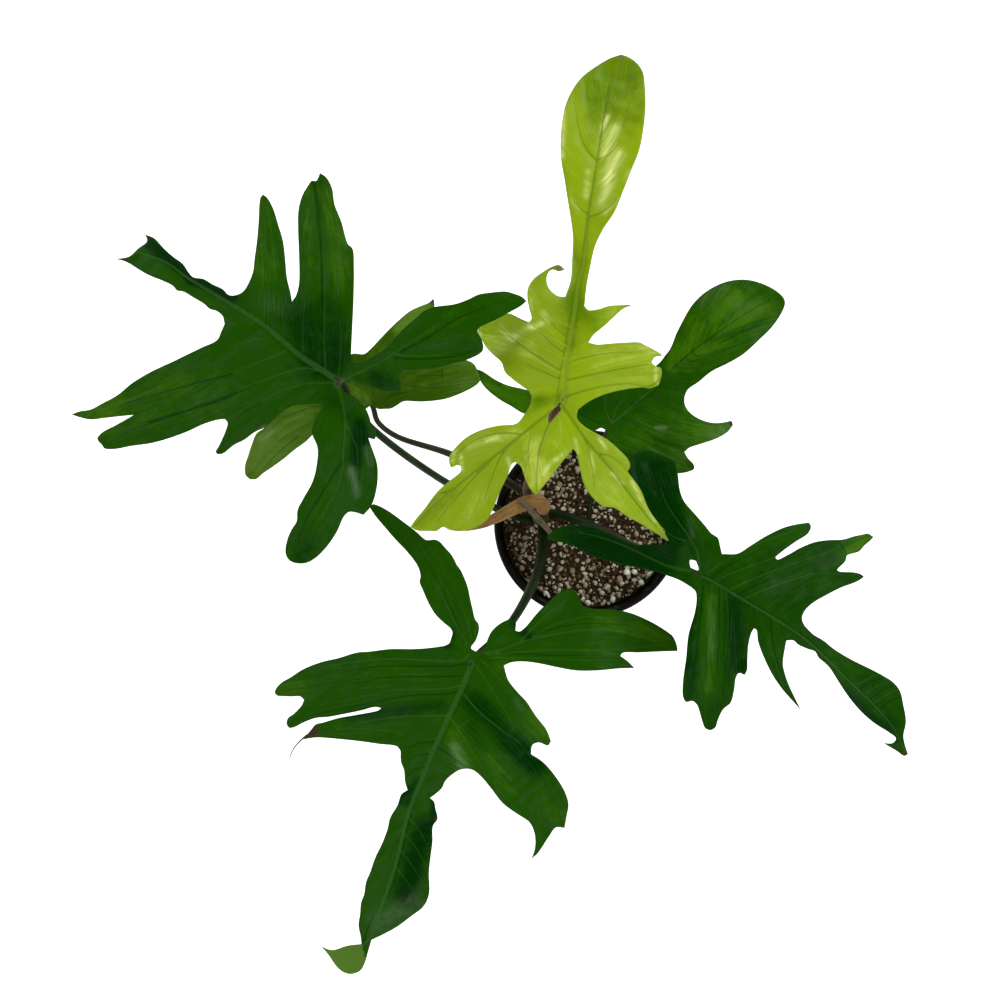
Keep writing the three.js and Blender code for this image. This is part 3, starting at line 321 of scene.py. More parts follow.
RIGHT = {
    "edge": [
        [[737.5, 553.5], [751.5, 545], [767, 535.5], [784, 527.5], [798, 524], [809, 522.5]],
        [[811, 526.5], [808, 533.5], [796, 541.5], [784, 550], [775.5, 557]],
        [[777, 559.5], [787.5, 555], [801, 547.5], [815, 542], [829, 540], [842.5, 539.5], [855, 536],
         [862.5, 534.5], [868, 533.5], [873.5, 537]],
        [[871, 540], [864.5, 545.5], [859, 551.5], [852.5, 553.5], [847, 555.5], [846, 559.5],
         [844.5, 562.5], [839, 567.5], [837, 570]],
        [[839.5, 571.5], [848.5, 572], [855.5, 572.5], [861.5, 574.5], [864, 577]],
        [[858, 581], [851, 584], [842.5, 587], [825.5, 595.5], [811.5, 604], [804, 612], [802, 619],
         [804.5, 625.5]],
        [[813.5, 634.5], [823.5, 640.5], [834, 649], [849.5, 658.5], [866.5, 667], [882, 675],
         [893.5, 682.5], [900, 691], [903.5, 705], [906, 722], [903.5, 736], [905.5, 746.5], [908, 754]],
        [[904.5, 756], [896, 750.5], [889, 746.5], [883.5, 743]],
        [[892.5, 743], [896, 738.5], [889, 732.5], [875.5, 724], [863, 713.5], [851, 700], [839, 682.5],
         [830.5, 669], [825.5, 663.5], [818.5, 657.5], [815, 651.5], [808, 649], [798, 644.5],
         [793.5, 640.5], [786.5, 640.5]],
        [[785, 648], [783, 663.5], [785, 674], [790, 687.5], [796, 700], [801, 710.5]],
        [[794.5, 703], [782.5, 689.5], [772, 674], [763.5, 656.5], [758, 641], [756.5, 630], [754, 628.5]],
        [[751.5, 632.5], [748.5, 644.5], [747.5, 658.5], [747, 670.5], [744.5, 675]],
        [[739, 673], [736, 677.5], [734, 691], [730.5, 703], [723.5, 709], [718.5, 718.5], [715, 728],
         [710, 730.5]],
        [[705, 728], [702, 720.5], [697, 705], [692.5, 701], [686, 702], [683, 696.5], [683, 681],
         [686, 658.5], [688.5, 634.5], [694.5, 613.5], [696.5, 600], [695.5, 591.5], [691, 587]],
        [[679, 580], [667, 575.5], [650, 570], [632, 566.5], [613.5, 562.5], [598, 558], [584.5, 551.5],
         [572, 545.5], [560, 542], [549, 540], [547, 537]],
        [[551.5, 532], [560, 527], [575, 525.5], [590.5, 526.5], [601, 530.5], [613.5, 536.5],
         [625.5, 542], [635, 545], [647, 544], [661, 545], [667, 541]],
        [[664, 529], [656, 523], [645, 512], [634, 497], [626, 480], [624, 465], [630, 457], [638, 452],
         [647, 450], [661, 454.5], [673, 460], [676, 463]],
        [[678, 475], [680, 490.5], [684, 501], [694.5, 513.5], [705, 525.5], [711.5, 533.5], [718, 538],
         [720, 545.5], [722, 554]],
    ],
    "slit": [[690, 560], [692, 569.5], [698.5, 570], [696, 561]],
    "veins": [
        [[701, 576, 175], [712, 581, 177], [737, 596, 180], [767, 614, 181], [791, 629, 179],
         [810, 643, 175], [825, 657, 171], [849, 681, 163], [872, 703, 154], [889, 722, 145],
         [899, 738, 138], [906, 753, 132]],
        [[699, 572, 175], [693, 553, 177], [685, 538, 179], [673, 520, 180], [662, 501, 179],
         [655, 483, 175], [650, 463, 170]],
        [[693, 575, 175], [670, 567, 174], [647, 558, 171], [626, 547, 167], [601, 538, 161],
         [551, 536, 148]],
        [[737, 596, 180], [770, 560, 178], [809, 525, 168]],
        [[767, 614, 181], [810, 570, 177], [868, 537, 163]],
        [[780, 620, 180], [820, 595, 176], [862, 576, 165]],
        [[712, 581, 177], [705, 640, 176], [710, 728, 164]],
        [[737, 596, 180], [738, 640, 177], [741, 674, 171]],
        [[760, 610, 181], [775, 650, 177], [800, 709, 163]],
    ],
    "side_rise": 0.07,
}

FRONT = {
    "edge": [
        [[471, 648], [476, 640], [479, 629.5], [478.5, 624], [475, 619], [473, 610.5], [470.5, 600],
         [468, 588], [464, 577], [460, 569], [457, 565], [452, 555.5], [445, 547.5], [439.5, 541.5],
         [434.5, 539.5], [426.5, 540], [415.5, 531], [401, 520], [390, 512], [379.5, 506], [373.5, 504]],
        [[370, 506.5], [374, 514], [385, 527.5], [395.5, 539.5], [406, 550.5], [414.5, 561], [419, 569],
         [420.5, 577], [419.5, 581.5], [423, 590.5], [429, 604], [435.5, 614.5], [443.5, 622.5],
         [450.5, 628.5], [452.5, 632.5], [451, 638.5], [449, 643.5], [443.5, 646]],
        [[428.5, 648], [413, 649], [390.5, 649], [369.5, 651.5], [357, 652.5], [338.5, 658], [321.5, 662],
         [303.5, 669], [291, 677], [281, 683], [275.5, 689.5], [275, 693.5], [278, 696]],
        [[291, 696.5], [300.5, 696.5], [304, 700]],
        [[301.5, 705.5], [293.5, 714], [288, 718], [286.5, 724], [289, 728]],
        [[293.5, 727.5], [303.5, 722.5], [316, 718], [327.5, 717], [344, 714], [361, 710.5], [375, 707],
         [381, 708]],
        [[379, 710], [358, 714.5], [338.5, 718], [323, 722.5], [315.5, 724.5], [312, 728.5], [306.5, 735],
         [302, 739.5]],
        [[316, 737.5], [327.5, 738], [338.5, 739], [358, 741], [379.5, 744], [397, 746.5], [400.5, 751]],
        [[401, 762], [404, 770], [405, 781.5], [407.5, 790]],
        [[401.5, 794], [397.5, 805], [390, 818], [387.5, 829], [382, 843.5], [375, 858], [370, 872.5],
         [366, 882], [364, 894.5], [361, 902.5], [360, 914], [358.5, 925.5], [360.5, 936], [361.5, 944]],
        [[348, 945.5], [332, 950], [324, 947.5], [320.5, 945.5]],
        [[328.5, 955], [336.5, 966.5], [343, 972], [351, 974], [360, 971], [364, 965], [368.5, 950.5],
         [371.5, 940]],
        [[386, 933], [399, 925.5], [411.5, 916], [423.5, 906.5], [429, 894.5], [429, 872.5], [430.5, 858],
         [432.5, 842], [433, 826], [437.5, 819], [435.5, 808.5], [434, 801.5], [430, 798]],
        [[435.5, 794], [442, 788], [445, 781.5], [451.5, 775], [461, 769.5], [471.5, 769.5], [480, 775.5],
         [490, 787], [503, 803.5], [516.5, 813.5], [529.5, 822.5], [534.5, 833.5], [535, 847.5],
         [531.5, 859]],
        [[538, 853], [549, 836.5], [556, 827.5], [564.5, 828]],
        [[566.5, 817], [568.5, 804], [565, 792], [556, 777], [543, 762], [531, 754]],
        [[532.5, 745], [539, 742.5], [548, 745.5], [551, 741]],
        [[546, 729], [536, 716], [526, 701], [518, 692.5], [508, 679.5], [504, 665.5]],
        [[511, 662.5], [523, 661.5], [539.5, 663.5], [556, 667], [576, 670.5], [597.5, 670.5],
         [619, 668.5], [634.5, 668]],
        [[627.5, 661], [620.5, 656]],
        [[622.5, 653], [639, 652.5], [660.5, 651.5], [677.5, 651]],
        [[677, 646], [673, 636.5], [667, 631.5], [650.5, 621.5], [630.5, 613], [614, 609.5], [589, 608],
         [582.5, 605], [579.5, 598], [577, 592.5]],
        [[571, 588.5], [564.5, 590], [556, 595], [546, 604], [536, 614.5], [526, 626.5], [519.5, 631.5],
         [515.5, 630.5]],
        [[515.5, 621.5], [509.5, 619.5], [499.5, 624], [491.5, 631.5], [487.5, 639.5], [485.5, 646],
         [477, 652]],
    ],
    "veins": [
        [[473, 660, 160], [462, 688, 164], [448, 718, 165], [434, 749, 162], [420, 783, 156],
         [409, 811, 150], [399, 852, 140], [391, 880, 132], [380, 909, 124], [372, 934, 116],
         [345, 962, 108]],
        [[470, 649, 160], [464, 635, 163], [454, 616, 166], [444, 594, 168], [430, 570, 168],
         [417, 549, 166], [397, 526, 161], [374, 506, 154]],
        [[481, 653, 160], [523, 641, 163], [556, 635, 164], [589, 631, 162], [614, 631, 158],
         [664, 641, 148]],
        [[523, 641, 163], [546, 626, 163], [572, 598, 157]],
        [[470, 665, 161], [440, 668, 160], [400, 672, 157], [340, 680, 149], [278, 690, 138]],
        [[458, 700, 165], [420, 722, 160], [370, 728, 153], [310, 734, 143]],
        [[468, 680, 163], [500, 700, 161], [545, 740, 152]],
        [[450, 720, 165], [500, 765, 159], [540, 805, 151], [545, 835, 145]],
    ],
    "side_rise": 0.07,
}

STALKS = {
    "upper_left": {
        "path": [
            [541, 517, 97], [528, 519, 99], [505, 512, 112], [447, 483, 150], [376, 432, 191],
            [351, 405, 204],
        ],
        "radius": [2.2, 2.1, 2, 1.9, 1.9, 1.8, 1.7],
    },
    "under_left": {
        "path": [
            [541, 515, 103], [532, 504, 105], [523, 493, 110], [506, 481, 119], [450, 454, 147],
            [396, 436, 168], [378, 422, 177],
        ],
        "radius": [2.3, 2.3, 2.2, 2, 1.7, 1.5, 1.4, 1.4],
    },
    "lime": {
        "path": [
            [541, 515, 109], [533, 506, 111], [527, 493, 122], [530, 477, 145], [535, 460, 168],
            [545, 430, 207],
        ],
        "radius": [2.4, 2.4, 2.4, 2.2, 2.1, 1.9, 1.7],
    },
    "back_right": {
        "path": [[588, 536, 55], [588, 535, 72], [588, 529, 88], [591, 497, 112], [600, 465, 138]],
        "radius": [1.7, 1.7, 1.6, 1.5, 1.4, 1.4],
    },
    "right": {
        "path": [[541, 515, 94], [555, 514, 96], [580, 521, 112], [606, 533, 130], [650, 555, 152]],
        "radius": [2.7, 2.6, 2.5, 2.3, 2.1, 1.8],
    },
    "front": {
        "path": [
            [542, 517, 90], [543, 530, 93], [543, 545, 101], [540, 565, 112], [524, 602, 133],
            [505, 630, 148],
        ],
        "radius": [2.9, 2.8, 2.7, 2.5, 2.2, 1.9, 1.7],
    },
}

DRY_SHEATH = {
    "path": [
        [542, 512, 120], [543, 505, 126], [536, 501, 130], [523, 504, 132], [505, 513, 133], [485, 523, 131],
        [464, 530, 126],
    ],
    "radius": [3.4, 3.8, 3.8, 3.3, 2.7, 2, 0.9],
}
DRY_STRIP = {
    "path": [[517, 499, 136.6], [530, 510, 135.2], [541, 522, 128], [551, 533, 119]],
    "radius": [1.3, 1.5, 1.6, 1.2],
}
DRY_WHISKER = {
    "path": [[308, 734, 144], [301, 740, 142.5], [294, 748, 142], [289, 759, 141]],
    "radius": [0.5, 0.4, 0.3, 0.2],
}

# What each blade shows, in plan points. "sinus" lies beyond the joint, where the two halves of the blade
# part. "laterals" are side veins that only the pattern follows, and "rib" is the midrib's width at joint and
# tip in mm. "pale" and "dark" are single lines, as a width in mm and the points; the last dark line of the
# lime leaf is painted shade along a fold. The tone strokes are of a lighter (+) or deeper (-) green, partly
# the leaf's own colour and partly painted shade and painted light, and the shine strokes are painted
# highlights, both as [x0, y0, x1, y1, reach, strength]. "brown" are dried spots, as [x, y, reach]. "turned"
# is a fold, [x0, y0, x1, y1, reach]: within reach of the line's middle, one side of the line shows the
# underside.
LOOKS = {
    "upper_left": {
        "sinus": [430, 381],
        "laterals": [
            [[236, 306], [222, 318], [205, 322]],
            [[258, 325], [240, 338], [200, 356], [150, 382], [110, 401]],
            [[285, 350], [262, 358], [225, 374], [170, 402], [135, 412]],
            [[318, 372], [290, 379], [262, 390], [215, 413], [150, 436]],
            [[335, 383], [310, 388], [285, 401], [262, 418]],
            [[282, 341], [282, 300], [277, 250], [266, 212]],
            [[300, 353], [301, 300], [306, 235], [313, 190]],
            [[331, 376], [334, 320], [333, 250], [324, 190]],
            [[341, 378], [345, 350], [348, 300], [345, 255]],
            [[345, 385], [362, 410], [366, 440], [368, 480], [358, 508]],
            [[335, 392], [328, 420], [326, 450], [315, 500], [294, 550]],
        ],
        "rib": [3.0, 0.8],
        "pale": [
            [0.7, [[286, 351], [262, 361], [233, 372]]],
            [0.8, [[318, 371], [306, 368], [290, 371], [262, 381], [236, 391]]],
            [0.8, [[332, 383], [312, 383], [293, 387], [276, 393], [262, 401]]],
            [0.5, [[262, 338], [243, 342], [228, 348]]],
            [0.5, [[326, 373], [324, 340], [325, 290], [323, 240]]],
            [0.5, [[338, 379], [340, 362], [341, 340], [340, 320]]],
            [0.4, [[303, 352], [303, 325], [305, 300]]],
            [0.4, [[264, 322], [264, 295], [263, 268]]],
            [1.0, [[343, 380], [360, 372], [384, 360], [397, 351], [414, 340], [440, 324]]],
            [0.8, [[396, 355], [415, 356], [440, 354], [465, 350]]],
            [1.1, [[339, 389], [342, 400], [345, 420], [344, 447], [342, 470], [337, 488], [326, 508]]],
            [0.6, [[346, 424], [352, 436], [357, 450], [358, 465]]],
            [0.6, [[346, 379], [353, 380], [364, 384.5], [377, 388]]],
        ],
        "dark": [
            [1.5, [[314, 182], [318, 215], [321, 250], [322, 300], [322, 345], [323, 366]]],
            [0.8, [[233, 374], [200, 382], [165, 392], [125, 404]]],
            [0.8, [[236, 393], [205, 404], [170, 415], [138, 424]]],
            [0.6, [[256, 384], [225, 399], [185, 412], [150, 424], [118, 436]]],
            [0.6, [[262, 403], [248, 410], [236, 417]]],
            [1.0, [[395, 358], [420, 359], [450, 357], [478, 350]]],
            [1.0, [[401, 352], [430, 336], [455, 320], [485, 307]]],
            [1.2, [[342, 462], [330, 480], [318, 500], [306, 520], [298, 540]]],
            [0.8, [[360, 440], [360, 460], [359, 480]]],
            [0.6, [[313, 357], [308, 330], [307, 300]]],
            [0.6, [[297, 345], [290, 320], [283, 300]]],
        ],
        "tone_and_painted_shading": 0,
        "tones_and_painted_shading": [
            [210, 382, 115, 408, 40, 0.3], [110, 409, 85, 415, 16, 0.45], [303, 318, 320, 362, 27, -0.75],
            [336, 300, 340, 352, 16, -0.35], [266, 210, 270, 270, 18, 0.4],
            [308, 195, 311, 290, 9, 0.3], [330, 195, 342, 290, 12, 0.6], [148, 243, 192, 278, 6, -1.1],
            [192, 279, 232, 297, 6, -1.1], [160, 272, 215, 303, 9, 0.15], [375, 378, 392, 386, 12, -0.6],
            [330, 402, 345, 412, 14, -0.5], [360, 425, 356, 460, 9, -0.9], [330, 490, 320, 520, 10, 0.3],
            [306, 548, 300, 560, 12, -0.45], [366, 450, 368, 490, 6, 0.35], [440, 345, 470, 335, 12, 0.2],
            [430, 325, 500, 300, 9, 0.2], [366, 440, 368, 490, 14, -0.35],
        ],
        "painted_highlight": [
            [351, 470, 357, 494, 4, 0.2], [367, 448, 370, 464, 3, 0.15], [257, 432, 266, 425, 1.2, 0.35],
            [343, 382, 337, 384, 3, 0.25], [266, 300, 276, 306, 9, 0.06],
        ],
        "brown": [[71, 414, 5], [145, 234, 6], [114, 259, 8], [338, 384, 3], [100, 440, 2], [320, 173, 2]],
    },
    "under_left": {
        "sinus": [395, 425],
        "laterals": [
            [[362, 405], [330, 430], [290, 450], [262, 474]],
            [[352, 400], [318, 412], [294, 420], [262, 445], [250, 465]],
        ],
        "rib": [1.6, 0.6],
        "pale": [
            [1.0, [[386, 350], [400, 336], [413, 323], [428, 308]]],
            [0.7, [[402, 371], [430, 368], [455, 364], [470, 362]]],
            [0.9, [[304, 414], [285, 424], [268, 440], [257, 456]]],
            [0.6, [[300, 424], [282, 436], [267, 452]]],
            [0.6, [[347, 383], [360, 391], [372, 404]]],
        ],
        "dark": [
            [0.35, [[442, 369], [442, 383]]],
            [1.2, [[386, 398], [396, 394], [408, 392]]],
            [0.5, [[415, 376], [445, 375], [470, 371]]],
            [0.5, [[410, 386], [440, 388], [465, 383]]],
            [0.6, [[306, 409], [284, 418], [262, 438]]],
            [0.6, [[298, 436], [278, 453], [262, 470]]],
        ],
        "tone_and_painted_shading": 0.2,
        "tones_and_painted_shading": [
            [300, 425, 255, 462, 22, 1.0], [400, 328, 425, 307, 7, 1.2], [350, 388, 368, 400, 7, 0.5],
            [395, 345, 412, 330, 4, -0.4], [376, 402, 395, 404, 7, -0.3], [400, 398, 450, 396, 6, -0.3],
        ],
        "painted_highlight": [[262, 440, 270, 432, 4, 0.25]],
        "brown": [[434, 300, 5], [370, 409, 4]],
    },
    "lime": {
        "sinus": [548, 560],
        "laterals": [
            [[592, 212], [604, 206], [613, 198]],
            [[588, 212], [578, 205], [571, 197]],
            [[596, 165], [607, 150], [616, 136], [622, 118]],
            [[596, 162], [584, 148], [577, 125], [574, 108]],
            [[601, 135], [612, 120], [624, 98], [628, 80]],
            [[601, 135], [590, 118], [586, 95]],
            [[568, 358], [590, 355], [620, 352], [645, 349]],
            [[564, 352], [545, 342], [520, 326], [505, 318]],
            [[564, 345], [552, 330], [538, 314]],
            [[557, 390], [545, 384], [532, 382]],
            [[550, 424], [541, 440], [535, 462], [536, 488]],
            [[552, 418], [530, 445], [520, 458]],
            [[553, 412], [520, 450], [490, 478], [465, 520]],
            [[553, 410], [515, 447], [470, 480], [438, 524]],
            [[562, 410], [566, 430], [574, 447]],
            [[563, 407], [582, 450], [597, 480], [612, 502]],
            [[566, 405], [590, 435], [612, 452], [625, 466]],
        ],
        "rib": [2.6, 0.2],
        "pale": [
            [0.7, [[564, 359], [551, 352], [543, 347]]],
            [0.6, [[566, 346], [553, 338], [545, 334]]],
            [0.6, [[562, 373], [548, 366], [540, 361]]],
            [0.6, [[570, 327], [560, 321], [553, 316]]],
            [0.7, [[560, 421], [561, 436], [555, 450]]],
            [0.6, [[527, 432], [532, 448], [533, 462]]],
            [0.6, [[582, 437], [591, 456], [594, 474]]],
            [0.7, [[600, 350], [632, 346], [650, 352]]],
        ],
        "dark": [
            [1.1, [[577, 300], [583, 255], [588, 216], [593, 186], [597, 160], [601, 135], [606, 104],
                   [613, 68]]],
            [0.6, [[557, 398], [561, 370], [565, 345], [569, 318], [573, 296]]],
            [0.9, [[560, 371], [545, 361], [525, 348], [507, 334], [495, 322]]],
            [0.7, [[559, 379], [546, 373], [528, 365]]],
            [0.7, [[564, 353], [553, 345], [541, 334], [530, 329]]],
            [0.6, [[567, 338], [556, 328], [547, 317]]],
            [1.0, [[567, 380], [590, 375], [620, 369], [648, 364]]],
            [1.0, [[563, 398], [580, 392], [605, 386], [630, 384], [646, 387]]],
            [0.6, [[572, 361], [600, 354], [632, 352]]],
            [1.3, [[552, 411], [535, 424], [520, 436], [505, 448], [488, 461], [468, 477], [440, 500],
                   [415, 525]]],
            [0.9, [[521, 434], [500, 433], [480, 438], [465, 447], [456, 454]]],
            [0.7, [[508, 447], [499, 460], [491, 480], [484, 500]]],
            [0.7, [[498, 453], [472, 480], [450, 505], [438, 520]]],
            [0.7, [[455, 489], [440, 494], [428, 506]]],
            [1.3, [[563, 407], [573, 421], [583, 436], [597, 453], [615, 474], [632, 497], [650, 520],
                   [666, 537]]],
            [0.8, [[581, 433], [588, 450], [592, 468], [595, 488]]],
            [0.7, [[597, 453], [610, 456], [622, 464]]],
            [1.0, [[549, 424], [543, 438], [538, 458], [537, 478], [537, 492]]],
            [0.6, [[530, 437], [528, 452], [529, 466]]],
            [0.8, [[589, 215], [580, 208], [572, 198]]],
            [0.8, [[590, 217], [602, 212], [611, 205], [617, 197]]],
            [0.6, [[596, 161], [587, 150], [581, 137], [576, 118]]],
            [0.5, [[598, 160], [610, 153], [621, 142]]],
            # Painted shade: a dark line along the fold where the lower right lobe's end curls.
            [1.4, [[646, 388], [654, 384], [661, 378]]],
        ],
        "tone_and_painted_shading": 0,
        "tones_and_painted_shading": [
            [600, 66, 626, 80, 50, -0.65], [580, 262, 577, 296, 22, -0.45], [590, 140, 596, 100, 12, -0.25],
            [570, 345, 574, 302, 12, -0.45], [590, 318, 598, 330, 14, -0.5], [556, 398, 540, 402, 9, -0.6],
            [600, 358, 645, 356, 14, 0.35], [470, 446, 516, 430, 7, 0.45], [455, 492, 420, 524, 9, -0.45],
            [478, 500, 462, 522, 12, 0.25], [533, 446, 538, 480, 11, 0.7], [598, 478, 618, 500, 10, 0.3],
            [640, 512, 664, 536, 5, -0.3], [525, 352, 485, 335, 12, 0.4], [550, 438, 562, 452, 8, 0.3],
            [532, 302, 534, 285, 8, 0.1], [536, 398, 524, 415, 7, -0.25], [630, 378, 655, 374, 7, 0.25],
            [606, 440, 624, 460, 8, 0.2], [568, 150, 572, 190, 6, 0.15],
        ],
        "painted_highlight": [
            [607, 117, 602, 134, 3, 0.9], [615, 128, 604, 154, 5, 0.8], [618, 154, 606, 180, 6, 0.85],
            [611, 176, 602, 206, 5, 0.75], [617, 198, 604, 213, 2.4, 0.8], [563, 112, 562, 156, 2.6, 0.7],
            [571, 200, 578, 210, 2.4, 0.5], [588, 172, 586, 196, 3, 0.45], [543, 313, 549, 321, 2.6, 0.7],
            [501, 329, 513, 340, 3, 0.75], [515, 336, 530, 327, 3.2, 0.75], [533, 328, 542, 323, 2.6, 0.7],
            [486, 441, 498, 437, 1.5, 0.8], [456, 448, 452, 462, 2, 0.5], [461, 456, 462, 470, 1.8, 0.8],
            [508, 459, 512, 470, 2, 0.8], [518, 463, 522, 470, 1.8, 0.6], [537, 457, 536, 482, 1.6, 0.6],
            [543, 474, 553, 460, 2.2, 0.7], [556, 460, 562, 455, 2, 0.6], [591, 454, 594, 472, 1.4, 0.8],
            [599, 438, 606, 449, 1.6, 0.8], [612, 473, 623, 484, 1.6, 0.8], [632, 482, 641, 499, 1.8, 0.8],
            [641, 500, 655, 522, 1.4, 0.5], [656, 368, 656, 381, 2, 0.9], [479, 328, 480, 337, 1.6, 0.9],
            [575, 440, 578, 452, 1.6, 0.5], [532, 310, 530, 300, 1.5, 0.4], [640, 347, 655, 353, 1.8, 0.4],
            [630, 170, 625, 180, 2.4, 0.35],
        ],
        "brown": [[562, 267, 7], [633, 304, 8], [620, 55, 5], [606, 59, 4], [479, 329, 2], [411, 527, 2]],
    },
    "back_right": {
        "sinus": [603, 470],
        "laterals": [
            [[672, 370], [700, 372], [712, 368]],
            [[672, 370], [678, 340], [690, 310]],
            [[700, 350], [730, 345], [752, 340]],
            [[700, 350], [712, 320], [735, 288]],
            [[655, 386], [690, 398], [712, 416]],
            [[628, 408], [660, 424], [700, 436]],
            [[620, 418], [650, 438], [688, 452]],
            [[606, 424], [570, 408], [530, 398], [490, 385]],
        ],
        "rib": [1.1, 0.3],
        "pale": [
            [0.8, [[657, 427], [662, 427.5], [667, 429]]],
            [0.7, [[611, 423], [606, 410], [605, 396]]],
            [0.7, [[612, 423], [617, 408], [625, 397]]],
            [0.6, [[613, 424], [628, 412], [645, 402]]],
            [0.5, [[697, 340], [703, 322], [714, 302]]],
            [0.5, [[718, 330], [728, 310], [741, 291]]],
            [0.5, [[738, 318], [752, 303], [768, 292]]],
            [0.5, [[708, 350], [730, 345], [752, 338]]],
            [0.4, [[640, 420], [662, 432], [690, 440]]],
        ],
        "dark": [
            [0.8, [[665, 376], [690, 353], [716, 334], [745, 314], [770, 300]]],
            [0.5, [[690, 362], [715, 354], [735, 347]]],
            [0.5, [[718, 344], [740, 333], [762, 322]]],
            [0.5, [[645, 432], [665, 442], [690, 446]]],
            [0.5, [[601, 424], [570, 410], [535, 402]]],
            [0.6, [[630, 405], [650, 395], [662, 383]]],
        ],
        "tone_and_painted_shading": 0.28,
        "tones_and_painted_shading": [
            [700, 325, 765, 300, 26, 0.15], [700, 437, 730, 427, 16, 0.5], [520, 398, 490, 385, 16, 0.4],
            [714, 318, 738, 294, 5, 0.8], [716, 332, 745, 318, 5, 0.6], [690, 345, 700, 325, 6, 0.4],
            [745, 318, 765, 305, 6, 0.4], [672, 368, 684, 352, 7, 0.35], [700, 352, 722, 344, 5, 0.5],
            [585, 408, 618, 402, 18, -0.6], [640, 385, 655, 378, 16, -0.2], [640, 440, 670, 458, 14, 0.15],
            [672, 352, 680, 340, 8, 0.2], [612, 424, 612, 424, 7, -0.4],
        ],
        "painted_highlight": [
            [656, 427, 666, 428, 1.3, 0.45], [700, 300, 715, 292, 6, 0.08], [712, 436, 730, 428, 6, 0.08],
        ],
        "brown": [[732, 423, 4], [785, 304, 3], [694, 468, 3], [611, 425, 2.5]],
    },
    "right": {
        "sinus": [660, 541],
        "laterals": [
            [[722, 586], [750, 566], [790, 540]],
            [[752, 605], [790, 580], [838, 556]],
            [[775, 617], [800, 600], [822, 592]],
            [[725, 588], [722, 640], [726, 700]],
            [[704, 577], [696, 630], [692, 690]],
            [[752, 605], [750, 620], [752, 630]],
            [[700, 571], [704, 545], [697, 520], [682, 495], [672, 470]],
            [[696, 571], [680, 548], [660, 525], [642, 500], [636, 470]],
            [[690, 575], [650, 553], [610, 534], [570, 530]],
            [[690, 578], [645, 566], [600, 553], [570, 543]],
        ],
        "rib": [1.4, 0.5],
        "pale": [
            [1.1, [[690, 571], [668, 566], [648, 557], [625, 546], [603, 538], [578, 532]]],
            [0.9, [[700, 571], [698, 555], [690, 538], [679, 523], [667, 505], [660, 488]]],
            [0.7, [[686, 541], [676, 538], [668, 533]]],
            [0.6, [[706, 574], [730, 558], [762, 542], [798, 529]]],
            [0.6, [[716, 580], [745, 568], [774, 558]]],
            [0.6, [[730, 589], [765, 574], [805, 560], [836, 549]]],
            [0.6, [[745, 598], [780, 584], [820, 573], [852, 576]]],
            [0.7, [[712, 586], [711, 620], [709, 660], [708, 700]]],
            [0.5, [[726, 592], [728, 620], [725, 660]]],
            [0.5, [[858, 684], [874, 676], [889, 673]]],
            [0.5, [[866, 693], [882, 684], [898, 681]]],
            [0.5, [[874, 703], [888, 694], [901, 689]]],
        ],
        "dark": [
            [1.2, [[662, 498], [675, 522], [689, 547], [695, 560]]],
            [0.8, [[640, 470], [650, 500], [668, 527]]],
            [0.9, [[688, 576], [655, 567], [625, 555], [590, 548]]],
            [0.9, [[703, 586], [700, 620], [695, 660], [690, 690]]],
            [0.8, [[719, 590], [719, 630], [717, 675]]],
            [0.7, [[734, 598], [732, 640], [728, 690]]],
            [0.6, [[708, 578], [735, 562], [770, 545]]],
            [0.6, [[736, 595], [775, 577], [815, 562]]],
            [0.8, [[770, 618], [774, 650], [785, 683]]],
            [0.7, [[860, 689], [876, 680], [893, 677]]],
            [0.7, [[870, 699], [885, 689], [900, 685]]],
            [0.6, [[880, 709], [892, 700], [903, 697]]],
            [0.8, [[838, 541], [842, 546], [846, 554]]],
            [0.8, [[893, 743], [901, 741], [905, 745]]],
        ],
        "tone_and_painted_shading": -0.4,
        "tones_and_painted_shading": [
            [648, 478, 664, 526, 22, -0.95], [585, 537, 650, 555, 22, -0.8], [755, 582, 830, 560, 18, -0.1],
            [712, 598, 709, 688, 9, 0.95], [693, 610, 690, 690, 8, -0.3], [845, 695, 885, 732, 9, -0.45],
            [850, 551, 872, 536, 9, 1.35], [732, 605, 738, 665, 10, -0.4], [712, 565, 735, 575, 14, 0.2],
            [695, 515, 705, 535, 8, 0.35], [790, 540, 806, 527, 8, 0.25], [775, 640, 782, 665, 6, 0.2],
            [830, 655, 850, 668, 7, 0.2], [740, 555, 775, 540, 7, 0.25], [684, 490, 700, 515, 5, -0.2],
        ],
        "painted_highlight": [
            [775, 585, 828, 560, 12, 0.03], [712, 610, 711, 655, 4, 0.08], [690, 520, 693, 535, 3, 0.08],
        ],
        "brown": [[801, 711, 4], [883, 743, 5], [908, 754, 5], [696, 573, 3], [863, 577, 3], [873, 537, 2]],
    },
    "front": {
        "sinus": [490, 600],
        "laterals": [
            [[466, 662], [440, 667], [400, 666], [340, 668], [290, 680]],
            [[463, 680], [440, 688], [400, 692], [340, 700], [300, 712]],
            [[452, 708], [430, 712], [400, 716], [350, 722], [315, 726]],
            [[440, 738], [425, 742], [408, 746]],
            [[432, 755], [450, 762], [462, 768]],
            [[445, 730], [462, 748], [490, 780], [520, 812]],
            [[461, 694], [485, 715], [515, 745], [540, 780], [556, 815]],
            [[475, 662], [492, 680], [512, 700], [535, 728]],
            [[480, 656], [500, 668], [505, 672]],
            [[472, 650], [470, 635], [468, 610], [455, 575]],
            [[467, 645], [455, 630], [436, 605], [422, 580]],
            [[486, 652], [530, 648], [580, 650], [620, 652]],
            [[486, 655], [530, 655], [590, 662], [625, 665]],
            [[500, 646], [530, 634], [570, 615], [620, 618], [655, 632]],
        ],
        "rib": [2.7, 0.8],
        "pale": [
            [0.9, [[469, 655], [463, 660], [440, 661], [405, 659], [370, 660], [330, 666]]],
